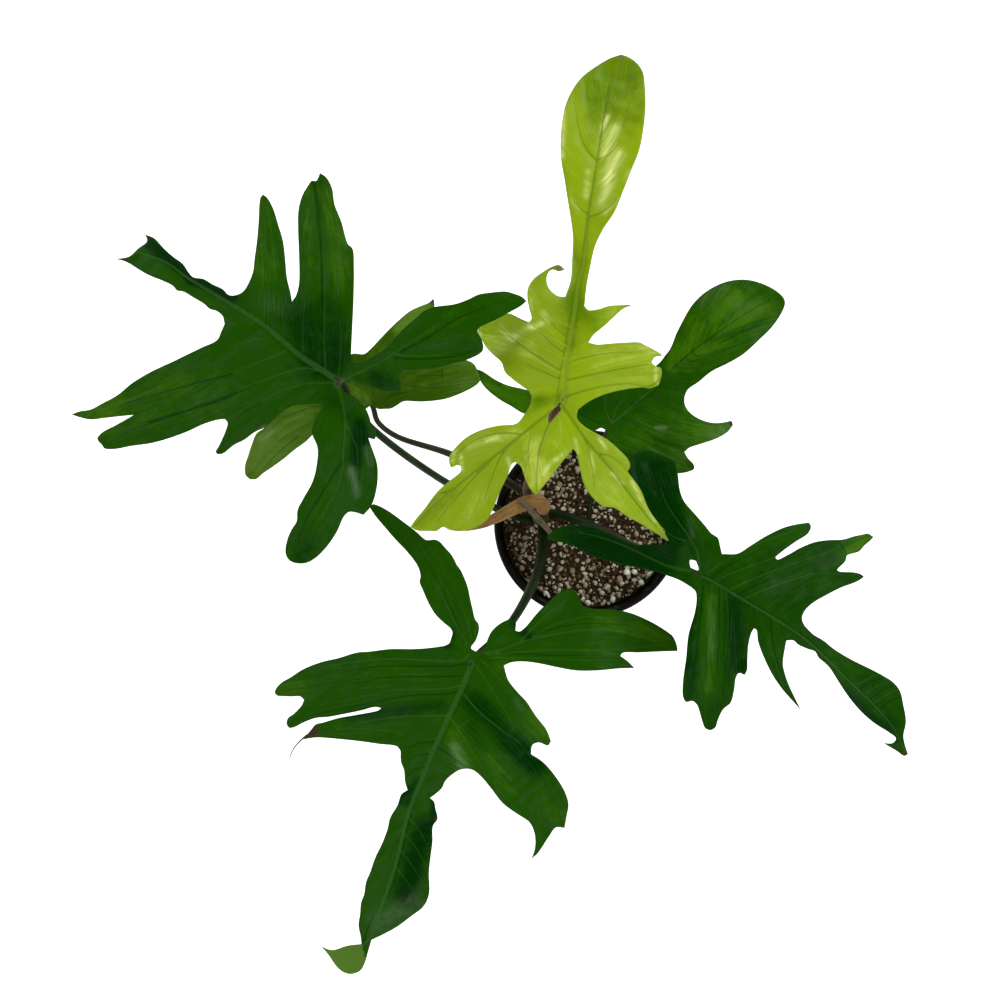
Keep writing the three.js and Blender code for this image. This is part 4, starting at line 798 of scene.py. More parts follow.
            [0.7, [[461, 685], [450, 688], [425, 689], [395, 690], [360, 697]]],
            [0.8, [[447, 716], [420, 716], [398, 717], [365, 722], [332, 733]]],
            [0.9, [[464, 694], [478, 711], [498, 727], [518, 742]]],
            [0.6, [[475, 664], [486, 680], [498, 700], [512, 722]]],
            [0.6, [[481, 660], [498, 676], [515, 696]]],
            [0.8, [[448, 714], [460, 732], [470, 748], [482, 768]]],
            [1.0, [[485, 653], [500, 650], [520, 643], [545, 636], [575, 631], [610, 630], [650, 637]]],
            [0.8, [[521, 641], [534, 627], [549, 613], [566, 601]]],
            [0.7, [[532, 637], [556, 624], [585, 617], [620, 619]]],
            [0.7, [[488, 655], [520, 652], [560, 650], [610, 650], [655, 646]]],
            [0.6, [[490, 658], [530, 658], [580, 660], [618, 660]]],
            [0.8, [[467, 644], [458, 628], [447, 604], [437, 580]]],
            [0.6, [[472, 640], [467, 620], [459, 598]]],
            [0.5, [[407, 816], [418, 828], [427, 845]]],
            [0.5, [[404, 833], [415, 846], [425, 864]]],
            [0.5, [[400, 850], [412, 865], [423, 883]]],
            [0.5, [[397, 868], [408, 883], [417, 898]]],
            [0.4, [[402, 828], [393, 842], [386, 858]]],
            [0.4, [[396, 852], [387, 868], [379, 885]]],
            [0.7, [[388, 893], [378, 918], [370, 937]]],
        ],
        "dark": [
            [0.8, [[466, 664], [450, 666], [420, 666], [385, 666], [350, 671]]],
            [0.8, [[459, 691], [445, 694], [415, 695], [380, 701], [340, 709], [312, 715]]],
            [0.6, [[462, 676], [430, 677], [395, 677], [350, 684]]],
            [0.7, [[433, 742], [419, 743], [407, 749]]],
            [0.7, [[429, 754], [416, 756], [406, 762]]],
            [0.7, [[425, 767], [415, 769], [407, 776]]],
            [0.9, [[464, 641], [454, 617], [443, 593], [431, 568]]],
            [0.6, [[522, 639], [545, 631], [580, 624], [630, 625]]],
            [0.6, [[500, 653], [550, 655], [600, 655]]],
            [1.0, [[411, 814], [404, 842], [396, 876], [387, 900]]],
            [0.8, [[437, 747], [447, 753], [456, 763]]],
            [0.8, [[363, 944], [367, 930], [374, 915]]],
        ],
        "tone_and_painted_shading": 0.1,
        "tones_and_painted_shading": [
            [472, 700, 534, 764, 15, -0.85], [350, 716, 440, 706, 9, -0.75], [424, 828, 406, 896, 15, -1.0],
            [535, 716, 546, 738, 13, 0.5], [548, 792, 558, 808, 14, 0.45], [454, 736, 463, 762, 11, 0.45],
            [520, 745, 560, 800, 12, -0.35], [415, 640, 425, 655, 14, -0.2], [400, 745, 440, 735, 14, -0.2],
            [450, 634, 447, 643, 8, -0.9], [302, 690, 285, 692, 14, 0.3], [600, 620, 660, 638, 12, 0.3],
            [398, 800, 405, 790, 6, -0.8], [434, 800, 436, 822, 5, -0.9], [500, 665, 520, 690, 9, 0.2],
            [515, 624, 528, 636, 7, -0.9], [430, 550, 440, 575, 10, 0.15], [340, 727, 400, 735, 7, 0.2],
            [415, 780, 408, 802, 6, -0.6], [490, 755, 510, 790, 8, 0.3], [470, 725, 478, 745, 6, -0.3],
            [376, 905, 366, 930, 6, -0.2], [370, 672, 440, 673, 7, 0.15],
        ],
        "painted_highlight": [
            [376, 928, 412, 903, 12, 0.12], [455, 748, 462, 765, 6, 0.2], [516, 700, 520, 708, 3, 0.08],
        ],
        "brown": [
            [302, 739, 11], [312, 728, 9], [320, 945, 4], [531, 859, 4], [436, 819, 3], [480, 650, 4],
            [578, 594, 2], [289, 728, 2],
        ],
        "turned": [366, 962, 361.5, 944, 50],
    },
}

# Pure white grains on the potting mix: [plan x, plan y, radius].
WHITE_GRAINS = np.array([
    [541, 600, 1.6], [548, 596, 1.3], [583, 599, 1.4], [588, 603, 2.1], [615, 607, 1.8], [627, 572, 1.7],
    [634, 572, 1.9], [642, 584, 2.2], [652, 575, 1.8], [519, 487, 1.2],
])


def from_plan(places, heights):
    """Points in space on the line of sight from the eye: the plan's unit shrinks with nearness to the eye."""
    unit = PLAN_UNIT * (EYE_HEIGHT - heights) / (EYE_HEIGHT - PLAN_LEVEL)
    away = (places - PLAN_CENTRE) * unit[:, None]
    return np.column_stack([EYE_PLACE[0] + away[:, 0], EYE_PLACE[1] - away[:, 1], heights])


def curve_through(points, steps=14):
    """A smooth line through the points: cubic pieces whose slopes allow for the square roots of the gaps."""
    points = np.asarray(points, float)
    points = np.vstack([2 * points[0] - points[1], points, 2 * points[-1] - points[-2]])
    gaps = np.sqrt(np.linalg.norm(np.diff(points, axis=0), axis=1))[:, None]
    before, here, after = gaps[:-2], gaps[1:-1], gaps[2:]
    a, b, c, d = points[:-3], points[1:-2], points[2:-1], points[3:]
    slope_in = here * ((b - a) / before - (c - a) / (before + here) + (c - b) / here)
    slope_out = here * ((c - b) / here - (d - b) / (here + after) + (d - c) / after)
    t = np.linspace(0, 1, steps, endpoint=False)[None, :, None]
    curve = (
        (2 * t**3 - 3 * t**2 + 1) * b[:, None]
        + (t**3 - 2 * t**2 + t) * slope_in[:, None]
        + (3 * t**2 - 2 * t**3) * c[:, None]
        + (t**3 - t**2) * slope_out[:, None]
    )
    return np.vstack([curve.reshape(-1, points.shape[1]), c[-1:]])


def unit(vector):
    return vector / np.linalg.norm(vector)


def lengths_along(line):
    return np.concatenate([[0], np.cumsum(np.linalg.norm(np.diff(line, axis=0), axis=1))])


def evenly(line, count):
    """The line resampled at evenly spaced places, both ends kept."""
    run = lengths_along(line)
    where = np.linspace(0, run[-1], count)
    return np.column_stack([np.interp(where, run, column) for column in line.T])


def nearest_on(line, points):
    """For each point its distance from the line, positive on one side of it and negative on the other, and
    how far along the line the nearest place is: the least distance to the two steps at the nearest point."""
    run = lengths_along(line)
    gaps, along = [], []
    for block in np.array_split(points, max(1, len(points) * len(line) // LARGEST_BLOCK)):
        near = ((line**2).sum(1) - 2 * block @ line.T).argmin(1)
        best_gap = np.full(len(block), np.inf)
        best_side = np.ones(len(block))
        best_run = np.zeros(len(block))
        for first in (near - 1, near):
            first = np.clip(first, 0, len(line) - 2)
            start = line[first]
            step = line[first + 1] - start
            offset = block - start
            share = np.clip((offset * step).sum(1) / (step**2).sum(1), 0, 1)
            gap = np.linalg.norm(offset - share[:, None] * step, axis=1)
            closer = gap < best_gap
            side = np.where(step[:, 1] * offset[:, 0] - step[:, 0] * offset[:, 1] >= 0, 1.0, -1.0)
            best_side = np.where(closer, side, best_side)
            best_run = np.where(closer, run[first] + share * (run[first + 1] - run[first]), best_run)
            best_gap = np.where(closer, gap, best_gap)
        gaps.append(best_gap * best_side)
        along.append(best_run)
    return np.concatenate(gaps), np.concatenate(along)


def ripple(points, length, seed):
    """Uneven low relief between about -1 and 1: a sum of sine waves of nearly the given length in random
    directions."""
    random = np.random.default_rng(seed)
    directions = random.normal(size=(RIPPLE_WAVES, points.shape[1]))
    directions /= np.linalg.norm(directions, axis=1)[:, None]
    waves = 2 * np.pi / (length * random.uniform(*RIPPLE_LENGTHS, RIPPLE_WAVES))
    phases = random.uniform(0, 2 * np.pi, RIPPLE_WAVES)
    return np.sin(points @ directions.T * waves + phases).mean(1) * RIPPLE_GAIN


def bell(distance):
    """A smooth hump: e to minus the square of the distance, so 1 at no distance and nearly 0 at 2."""
    return np.exp(-(distance**2))


def new_piece(name, points, faces, material, nodes=(), fields=None):
    """An object of the faces over the points, in metres, with a value per point for each field."""
    mesh = bpy.data.meshes.new(name)
    faces = np.asarray(faces)
    mesh.vertices.add(len(points))
    mesh.vertices.foreach_set("co", (np.asarray(points) * METRE).ravel())
    mesh.loops.add(faces.size)
    mesh.loops.foreach_set("vertex_index", faces.ravel().astype(np.int32))
    mesh.polygons.add(len(faces))
    mesh.polygons.foreach_set("loop_start", np.arange(0, faces.size, faces.shape[1], dtype=np.int32))
    mesh.polygons.foreach_set("use_smooth", np.full(len(faces), True))
    mesh.update(calc_edges=True)
    for field, values in (fields or {}).items():
        kind, key = ("FLOAT", "value") if values.ndim == 1 else ("FLOAT_VECTOR", "vector")
        mesh.attributes.new(field, kind, "POINT").data.foreach_set(key, values.ravel())
    mesh.materials.append(material)
    piece = bpy.data.objects.new(name, mesh)
    bpy.context.scene.collection.objects.link(piece)
    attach(piece, "root")
    if nodes:
        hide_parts(*nodes)
    return piece


def skin(rings):
    """Triangles over rings of points, closed round each ring, with a pole at the middle of both end rings."""
    rows, columns = rings.shape[:2]
    here = np.arange(rows * columns).reshape(rows, columns)
    right = np.roll(here, -1, axis=1)
    sides = [
        np.stack([here[:-1], right[:-1], right[1:]], axis=-1).reshape(-1, 3),
        np.stack([here[:-1], right[1:], here[1:]], axis=-1).reshape(-1, 3),
    ]
    first_pole = np.full(columns, rows * columns)
    caps = [
        np.column_stack([right[0], here[0], first_pole]),
        np.column_stack([here[-1], right[-1], first_pole + 1]),
    ]
    points = np.vstack([rings.reshape(-1, 3), rings[0].mean(0), rings[-1].mean(0)])
    return points, np.vstack(sides + caps)


# Shader maths


class Shade:
    """A socket of a material's nodes. Arithmetic on it adds Math nodes, and any other node comes from
    node()."""

    def __init__(self, tree, socket=None):
        self.tree = tree
        self.socket = socket

    def node(self, kind, settings, sockets, output=0):
        """Adds a node: the settings come first, then each socket gets its value or its link."""
        made = self.tree.nodes.new(kind)
        for name, value in settings.items():
            setattr(made, name, value)
        for key, value in sockets.items():
            if isinstance(value, Shade):
                self.tree.links.new(value.socket, made.inputs[key])
            else:
                made.inputs[key].default_value = value
        return Shade(self.tree, made.outputs[output] if made.outputs else None)

    def join(self, operation, *values):
        return self.node("ShaderNodeMath", {"operation": operation}, dict(enumerate(values)))

    def __add__(self, other):
        return self.join("ADD", self, other)

    __radd__ = __add__

    def __sub__(self, other):
        return self.join("SUBTRACT", self, other)

    def __rsub__(self, other):
        return self.join("SUBTRACT", other, self)

    def __mul__(self, other):
        return self.join("MULTIPLY", self, other)

    __rmul__ = __mul__

    def __truediv__(self, other):
        return self.join("DIVIDE", self, other)

    def __abs__(self):
        return self.join("ABSOLUTE", self)

    def fraction(self):
        return self.join("FRACT", self)

    def step(self, low, high):
        """A smooth step: 0 at low, 1 at high, which may be the smaller."""
        sockets = {"Value": self, "From Min": low, "From Max": high}
        return self.node("ShaderNodeMapRange", {"interpolation_type": "SMOOTHSTEP"}, sockets)

    def mix(self, a, b):
        """The colour a where this is 0 and b where it is 1."""
        settings = {"data_type": "RGBA", "clamp_factor": True}
        return self.node("ShaderNodeMix", settings, {0: self, 6: a, 7: b}, 2)

    def field(self, name, output=2):
        return self.node("ShaderNodeAttribute", {"attribute_name": name}, {}, output)

    def place(self):
        return self.node("ShaderNodeTexCoord", {}, {}, "Object")

    def noise(self, size, detail=3.0, rough=0.5):
        """Cloudy noise on this position in metres, with features of the given size in millimetres."""
        sockets = {"Vector": self, "Scale": 1 / (size * METRE), "Detail": detail, "Roughness": rough}
        return self.node("ShaderNodeTexNoise", {}, sockets)


def linear(red, green, blue):
    """A display colour, 0 to 255, as the linear values that sockets take."""
    shares = np.array([red, green, blue]) / 255
    values = np.where(shares <= 0.04045, shares / 12.92, ((shares + 0.055) / 1.055) ** 2.4)
    return (*values.tolist(), 1.0)


def new_material(name):
    material = bpy.data.materials.new(name)
    material.use_nodes = True
    material.node_tree.nodes.clear()
    return material, Shade(material.node_tree)


def finish_surface(shade, colour, roughness, relief, relief_depth, plain):
    """Ends a material: relief from 0 to 1 becomes a bump of relief_depth millimetres."""
    sockets = {"Base Color": colour, "Roughness": roughness, **plain}
    bump = {"Height": relief, "Distance": relief_depth * METRE, "Strength": 1.0}
    sockets["Normal"] = shade.node("ShaderNodeBump", {}, bump)
    surface = shade.node("ShaderNodeBsdfPrincipled", {}, sockets)
    shade.node("ShaderNodeOutputMaterial", {}, {"Surface": surface})


def leaf_material(name, colours, roughness, gloss, relief_depth):
    """Leaf skin. The tone field blends deep, base and light green, with cloudy patches and streaks along the
    side veins, partly as the leaf's own colour and partly as painted shade and painted light. The vein field
    gives fine parallel veins, the pale and dark fields single lines, the rib field the midrib, the shine
    field painted highlights in pale streaky patches, which are also less rough, and the brown field dried
    spots."""
    material, shade = new_material(name)
    place = shade.place()
    tone_and_painted_shading = shade.field("tone_and_painted_shading")
    vein_count = shade.field("vein")
    gap = shade.field("gap")
    rib_gap = abs(shade.field("rib"))
    edge_gap = shade.field("edge")
    underside = shade.field("under")
    painted_highlight = shade.field("painted_highlight")
    brown = shade.field("brown")

    def line_gap(per_interval):
        """Distance in mm from the nearest line, with so many lines from one side vein to the next."""
        return abs((vein_count * per_interval + 0.5).fraction() - 0.5) * gap / per_interval

    along = shade.node("ShaderNodeCombineXYZ", {}, {"X": vein_count * 0.006, "Y": 0.0, "Z": 0.0})
    slow = shade.node("ShaderNodeVectorMath", {"operation": "SCALE"}, {"Vector": place, "Scale": 0.05})
    streak_place = shade.node("ShaderNodeVectorMath", {"operation": "ADD"}, {0: along, 1: slow})
    streaks = streak_place.noise(0.9, 3.0, 0.65)
    clouds = place.noise(16, 3.0)
    patches = place.noise(5, 2.0)
    fine = place.noise(1.6, 4.0, 0.6)
    speckle = place.noise(0.5, 2.0)

    side_vein = line_gap(5).step(0.5, 0.05) * gap.step(3.0, 8.0)
    pale_line = shade.field("pale").step(1.9, 0.2)
    dark_line = shade.field("dark").step(2.1, 0.2)
    on_rib = rib_gap.step(1.5, 0.5)
    beside_rib = rib_gap.step(2.8, 1.3) * (1 - on_rib)
    # Painted shade and painted light: the tone field darkens and lightens the green, partly as the leaf's own
    # colour and partly where shade and light fall.
    shifted_tone_and_shading = (
        tone_and_painted_shading * (0.4 + streaks * 1.2) + (clouds - 0.5) * 0.55 + (patches - 0.5) * 0.35
        + (streaks - 0.5) * 0.9 + (fine - 0.5) * 0.35 - beside_rib * 0.2
    )
    colour = shifted_tone_and_shading.step(-0.05, -0.95).mix(colours["base"], colours["deep"])
    colour = shifted_tone_and_shading.step(0.05, 1.0).mix(colour, colours["light"])
    # Painted highlight: pale streaky patches where the shine strokes lie stand in for gloss.
    colour = (painted_highlight * (streaks.step(0.35, 0.62) * 0.75 + speckle * 0.4)).mix(colour, colours["painted_highlight"])
    colour = (side_vein * 0.07).mix(colour, colours["pale"])
    colour = (dark_line * 0.6).mix(colour, colours["dark"])
    colour = (pale_line * 0.32).mix(colour, colours["pale"])
    colour = (on_rib * 0.5).mix(colour, colours["rib"])
    colour = (edge_gap.step(0.55, 0.1) * 0.4).mix(colour, colours["margin"])
    colour = brown.step(0.2, 0.9).mix(colour, colours["brown"])
    colour = (underside * 0.9).mix(colour, colours["under"])
    relief = fine * 0.35 + speckle * 0.15 + streaks * 0.35 - dark_line * 0.4 - side_vein * 0.25
    rough = roughness + (fine - 0.5) * 0.12 + (clouds - 0.5) * 0.1 + underside * 0.2 - painted_highlight * 0.1
    finish_surface(shade, colour, rough, relief, relief_depth, {"Specular IOR Level": gloss})
    return material


# Blades


def edge_ring(runs, spacing):
    """The outline as even steps: a smooth line through each run, from the corner before it to its own."""
    parts = []
    for i, run in enumerate(runs):
        line = curve_through([runs[i - 1][-1], *run])
        count = max(2, round(lengths_along(line)[-1] / spacing) + 1)
        parts.append(evenly(line, count)[:-1])
    return np.vstack(parts)


def is_inside(rings, points):
    """Whether each point has an odd number of ring sides to its right."""
    odd = np.zeros(len(points), bool)
    for ring in rings:
        a, b = ring, np.roll(ring, -1, axis=0)
        slope = (b[:, 0] - a[:, 0]) / np.where(b[:, 1] == a[:, 1], 1e-9, b[:, 1] - a[:, 1])
        blocks = np.array_split(points, max(1, len(points) * len(ring) // LARGEST_BLOCK))
        counts = []
        for block in blocks:
            x, y = block[:, :1], block[:, 1:]
            spans = (a[:, 1] > y) != (b[:, 1] > y)
            counts.append((spans & (x < a[:, 0] + slope * (y - a[:, 1]))).sum(1))
        odd ^= np.concatenate(counts) % 2 == 1
    return odd


def fill(rings, lines, spacing, seed):
    """Triangles over the rings: rows of shifted, slightly uneven points inside them, and a triangulation that
    keeps every side of the rings and of the lines."""
    low, high = rings[0].min(0), rings[0].max(0)
    rows = np.arange(low[1], high[1], spacing * ROW_SHARE)
    columns = np.arange(low[0], high[0], spacing)
    x, y = np.meshgrid(columns, rows)
    x = x + (np.arange(len(rows)) % 2 * spacing / 2)[:, None]
    inner = np.column_stack([x.ravel(), y.ravel()])
    random = np.random.default_rng(seed)
    inner += random.uniform(-POINT_UNEVENNESS, POINT_UNEVENNESS, inner.shape) * spacing
    inner = inner[is_inside(rings, inner)]
    outer = np.vstack(rings)
    sides = []
    start = 0
    for ring in rings:
        own = np.arange(start, start + len(ring))
        sides.append(np.column_stack([own, np.roll(own, -1)]))
        start += len(ring)
    closed_rings = [np.vstack([ring, ring[:1]]) for ring in rings]
    for line in lines:
        clear = is_inside(rings, line)
        for ring in closed_rings:
            clear &= np.abs(nearest_on(ring, line)[0]) > LINE_CLEARANCE * spacing
        linked = np.flatnonzero(clear[:-1] & clear[1:]) + start
        sides.append(np.column_stack([linked, linked + 1]))
        start += len(line)
    for line in closed_rings + lines:
        gap, _ = nearest_on(line, inner)
        inner = inner[np.abs(gap) > POINT_CLEARANCE * spacing]
    every = np.vstack([outer, *lines, inner])
    found = delaunay_2d_cdt(every.tolist(), np.vstack(sides).tolist(), [], 0, 1e-4, False)
    points = np.array([tuple(point) for point in found[0]])
    faces = np.array(found[2])
    faces = faces[is_inside(rings, points[faces].mean(1))]
    used, faces = np.unique(faces, return_inverse=True)
    faces = faces.reshape(-1, 3)
    points = points[used]
    a, b, c = points[faces[:, 0]], points[faces[:, 1]], points[faces[:, 2]]
    turn = (b[:, 0] - a[:, 0]) * (c[:, 1] - a[:, 1]) - (b[:, 1] - a[:, 1]) * (c[:, 0] - a[:, 0])
    faces[turn > 0] = faces[turn > 0][:, ::-1]
    return points, faces


def strokes(places, marks):
    """The sum of soft-edged strokes [x0, y0, x1, y1, reach, strength]: each is strongest on its line and
    falls off as a bell curve of the distance over its reach."""
    total = np.zeros(len(places))
    for x0, y0, x1, y1, reach, strength in marks:
        gap, _ = nearest_on(np.array([[x0, y0], [x1 + TINY, y1]], float), places)
        total += strength * bell(gap / reach)
    return total


def line_field(places, lines):
    """Distance from the nearest of the marked lines over that line's half width, which tapers to its end."""
    nearest = np.full(len(places), LARGEST_LINE_GAP)
    for width, line in lines:
        gap, run = nearest_on(line, places)
        half_width = 0.5 * width * (1 - LINE_TAPER * run / lengths_along(line)[-1])
        nearest = np.minimum(nearest, np.abs(gap) * PLAN_UNIT / half_width)
    return nearest


def vein_samples(leaf):
    """The veins as evenly spaced [x, y, height] points."""
    samples = []
    for vein in leaf["veins"]:
        curve = curve_through(vein)
        steps = int(np.ceil(lengths_along(curve)[-1] / VEIN_SAMPLE_SPACING))
        samples.append(evenly(curve, steps + 1))
    return np.vstack(samples)


def blade_height(leaf, places):
    """The mean of the veins' heights, the near ones counting most, raised with the distance from them, so
    that each vein lies in a shallow valley, plus a low wave."""
    samples = vein_samples(leaf)
    gap = np.linalg.norm(places[:, None, :] - samples[None, :, :2], axis=2)
    weight = 1 / (gap**2 + VEIN_REACH**2) ** 2
    height = (weight * (samples[:, 2] + leaf["side_rise"] * gap)).sum(1) / weight.sum(1)
    wave = np.sin(2 * np.pi * places / WAVE_LENGTH)
    return height + WAVE_HEIGHT * wave[:, 0] * wave[:, 1]


def rib_line(leaf, looks):
    """The midrib, carried on straight at its tip, and behind the joint through the sinus point."""
    rib = curve_through([vein[:2] for vein in leaf["veins"][0]])
    back = rib[0] + RIB_EXTENSION * (np.array(looks["sinus"]) - rib[0])
    ahead = rib[-1] + RIB_EXTENSION * (rib[-1] - rib[-6])
    return np.vstack([back, rib, ahead])


def side_veins(leaf, looks, rib, half):
    """The side veins on one half of the blade, from its tip round to the sinus, by where they leave the
    midrib. Each is carried on straight past its end."""
    guides = [curve_through([point[:2] for point in vein]) for vein in leaf["veins"][1:]]
    guides += [curve_through(lateral) for lateral in looks["laterals"]]
    own = []
    for guide in guides:
        guide = np.vstack([guide, guide[-1] + VEIN_EXTENSION * unit(guide[-1] - guide[-4])])
        root = int(VEIN_ROOT_SAMPLES * VEIN_ROOT_REACH / lengths_along(guide)[-1])
        root = np.clip(root, 1, VEIN_ROOT_SAMPLES - 1)
        _, root_run = nearest_on(rib, evenly(guide, VEIN_ROOT_SAMPLES)[root:root + 1])
        middle_side, _ = nearest_on(rib, evenly(guide[:-1], 3)[1:2])
        if middle_side[0] * half > 0:
            own.append((root_run[0], guide))
    own.sort(key=lambda pair: -pair[0])
    return [guide for _, guide in own]


def vein_fields(leaf, looks, places):
    """How the side veins run. The vein field is whole on each side vein and grows evenly to the next one, and
    the gap field is the distance between the two, so a share of the field is a distance."""
    rib = rib_line(leaf, looks)
    side, rib_run = nearest_on(rib, places)
    vein = np.zeros(len(places))
    gap = np.zeros(len(places))
    for half in (-1, 1):
        guides = side_veins(leaf, looks, rib, half)
        mine = np.flatnonzero(side * half >= 0)
        distances = np.array([nearest_on(guide, places[mine])[0] for guide in guides])
        gaps = np.abs(distances)
        near = gaps.argmin(0)
        column = np.arange(len(mine))
        step = (np.sign(distances[near, column]) * half).astype(int)
        other = near + step
        known = (other >= 0) & (other < len(guides))
        own_gap = gaps[near, column]
        open_gap = np.maximum(LAST_VEIN_GAP - own_gap, 1)
        other_gap = np.where(known, gaps[np.clip(other, 0, len(guides) - 1), column], open_gap)
        total = own_gap + other_gap
        vein[mine] = near + step * own_gap / np.maximum(total, TINY)
        gap[mine] = total
    return vein + VEIN_COUNT_START, gap * PLAN_UNIT, side * PLAN_UNIT, rib_run


def blade_fields(leaf, looks, places, rings, lines):
    """The fields that the leaf material reads, with a value for each place, and each place's share of the way
    along the midrib from the joint to the tip."""
    edge = np.full(len(places), np.inf)
    for ring in rings:
        gap, _ = nearest_on(np.vstack([ring, ring[:1]]), places)
        edge = np.minimum(edge, np.abs(gap) * PLAN_UNIT)
    vein, gap, side, rib_run = vein_fields(leaf, looks, places)
    rib_runs = lengths_along(rib_line(leaf, looks))
    joint, tip = rib_runs[1], rib_runs[-2]
    share = np.clip((rib_run - joint) / (tip - joint), 0, 1)
    rib_gap = side / np.interp(share, [0, 1], np.array(looks["rib"]) / 2)
    rib_gap[rib_run <= joint] = RIB_GAP_BEHIND_JOINT
    under = np.zeros(len(places))
    if "turned" in looks:
        x0, y0, x1, y1, reach = looks["turned"]
        start, end = np.array([x0, y0]), np.array([x1, y1])
        across = np.array([y1 - y0, x0 - x1]) / np.linalg.norm(end - start)
        far = np.linalg.norm(places - (start + end) / 2, axis=1)
        under[((places - start) @ across > 0) & (far < reach)] = 1
    spots = [[x, y, x, y, reach, 1] for x, y, reach in looks["brown"]]
    fields = {
        "vein": vein,
        "gap": gap,
        "rib": rib_gap,
        "edge": edge,
        # The tone strokes are partly the leaf's own colour and partly painted shade and painted light.
        "tone_and_painted_shading": looks["tone_and_painted_shading"] + strokes(places, looks["tones_and_painted_shading"]),
        "under": under,
        # Painted highlights.
        "painted_highlight": strokes(places, looks["painted_highlight"]),
        "brown": strokes(places, spots),
        "pale": line_field(places, lines["pale"]),
        "dark": line_field(places, lines["dark"]),
    }
    return fields, share


def marked_lines(marks):
    """The single lines as (width, line), each with its places a mesh spacing apart."""
    lines = []
    for width, points in marks:
        curve = curve_through(points)
        count = 2 + round(lengths_along(curve)[-1] / MESH_SPACING)
        lines.append((width, evenly(curve, count)))
    return lines


def blade(name, leaf, looks, material, seed):
    """A leaf blade: the outline filled with triangles and lifted to its height, a second sheet a thickness
    lower, and a wall round the edge. Veins are grooves above and ridges below."""
    rings = [edge_ring(leaf["edge"], MESH_SPACING)]
    if "slit" in leaf:
        rings.append(edge_ring([leaf["slit"]], MESH_SPACING))
    lines = {kind: marked_lines(looks[kind]) for kind in ("pale", "dark")}
    kept_lines = [line for _, line in lines["pale"] + lines["dark"]]
    places, faces = fill(rings, kept_lines, MESH_SPACING * INNER_SPACING_SHARE, seed)
    fields, share = blade_fields(leaf, looks, places, rings, lines)

    height = blade_height(leaf, places)
    inland = np.clip(fields["edge"] / FLAT_EDGE_WIDTH, 0, 1)
    near_vein = np.abs(fields["vein"] - np.round(fields["vein"])) * fields["gap"]
    on_rib = bell(fields["rib"])
    height += inland * (GROOVE_DEPTH * (1 - bell(near_vein / GROOVE_WIDTH)) - GROOVE_DEPTH * on_rib)
    crinkle = inland * CRINKLE_HEIGHT * ripple(places, CRINKLE_LENGTH, seed)
    height += crinkle + (1 - inland) * EDGE_CURL_HEIGHT * ripple(places, EDGE_CURL_LENGTH, seed + 1)
    height -= PALE_LINE_DEPTH * bell(fields["pale"]) + DARK_LINE_DEPTH * bell(fields["dark"])
    half = 0.5 * np.interp(fields["edge"], [0, THIN_EDGE_WIDTH], [EDGE_THICKNESS, BLADE_THICKNESS])
    lower = height - half - inland * RIB_RIDGE * on_rib * (1 - share)

    count = len(places)
    points = np.vstack([from_plan(places, height + half), from_plan(places, lower)])
    sides = np.vstack([faces[:, [0, 1]], faces[:, [1, 2]], faces[:, [2, 0]]])
    single = ~np.isin(sides[:, 0] * count + sides[:, 1], sides[:, 1] * count + sides[:, 0])
    a, b = sides[single].T
    walls = np.vstack([np.column_stack([a, a + count, b + count]), np.column_stack([a, b + count, b])])
    every_face = np.vstack([faces, faces[:, ::-1] + count, walls])
    both_sheets = {field: np.tile(values, 2) for field, values in fields.items()}
    both_sheets["under"][count:] = 1 - fields["under"]
    new_piece(f"{name}_leaf", points, every_face, material, [f"{name}_blade"], both_sheets)


# Stalks and stem


def tube(path, radii, sides, flatness=1.0, ridges=0.0, ridge_count=5):
    """A round skin along a path: at each place a ring of the radius there, square to the path, with both ends
    rounded off. Ridges are a share of the radius by which lengthwise folds stand out."""
    count = max(FEWEST_TUBE_RINGS, int(lengths_along(path)[-1] / TUBE_STEP))
    line = evenly(path, count)
    run = lengths_along(line)
    radius = np.interp(np.linspace(0, 1, count), np.linspace(0, 1, len(radii)), radii)
    for distance in (run, run[-1] - run):
        near = np.clip(distance / radius, 0, 1)
        radius = radius * np.sqrt(np.clip(near * (2 - near), LEAST_END_SHARE, 1))
    forward = np.gradient(line, axis=0)
    forward /= np.linalg.norm(forward, axis=1)[:, None]
    whole = line[-1] - line[0]
    across = unit(np.cross([0, 0, 1], whole)) if np.hypot(whole[0], whole[1]) > 1 else np.array([1.0, 0, 0])
    up = np.cross(forward, across)
    up /= np.linalg.norm(up, axis=1)[:, None]
    across = np.cross(up, forward)
    angle = np.linspace(0, 2 * np.pi, sides, endpoint=False)
    along = run[:, None]
    fold = 1 + ridges * np.sin(ridge_count * angle + RIDGE_TWIST * along) * np.clip(along / RIDGE_START, 0, 1)
    rings = (
        line[:, None]
        + (radius[:, None] * fold * np.cos(angle))[..., None] * across[:, None]
        + (radius[:, None] * fold * np.sin(angle) * flatness)[..., None] * up[:, None]
    )
    points, faces = skin(rings)
    share = np.append(np.repeat(run / run[-1], sides), [0, 1])
    turn = np.append(np.tile(angle, count), [0, 0])
    length = share * run[-1]
    fibre = np.column_stack([np.cos(turn) * FIBRE_TURN, np.sin(turn) * FIBRE_TURN, length * FIBRE_STRETCH])
    return points, faces, {"share": share, "fibre": fibre}


def stalk_path(stalk, leaf):
    """The stalk's points, with two more just under the blade along the start of its midrib."""
    start, following = np.array(leaf["veins"][0])[:2, :2]
    along = following - start
    seat = np.array([start, start + along * SEAT_REACH / np.linalg.norm(along)])
    under = BLADE_THICKNESS / 2 + SEAT_GAP + stalk["radius"][-1]
    heights = blade_height(leaf, seat) - under
    points = np.vstack([stalk["path"], np.column_stack([seat, heights])])
    return curve_through(from_plan(points[:, :2], points[:, 2]))


def plan_path(piece):
    path = np.array(piece["path"], float)
    return curve_through(from_plan(path[:, :2], path[:, 2]))


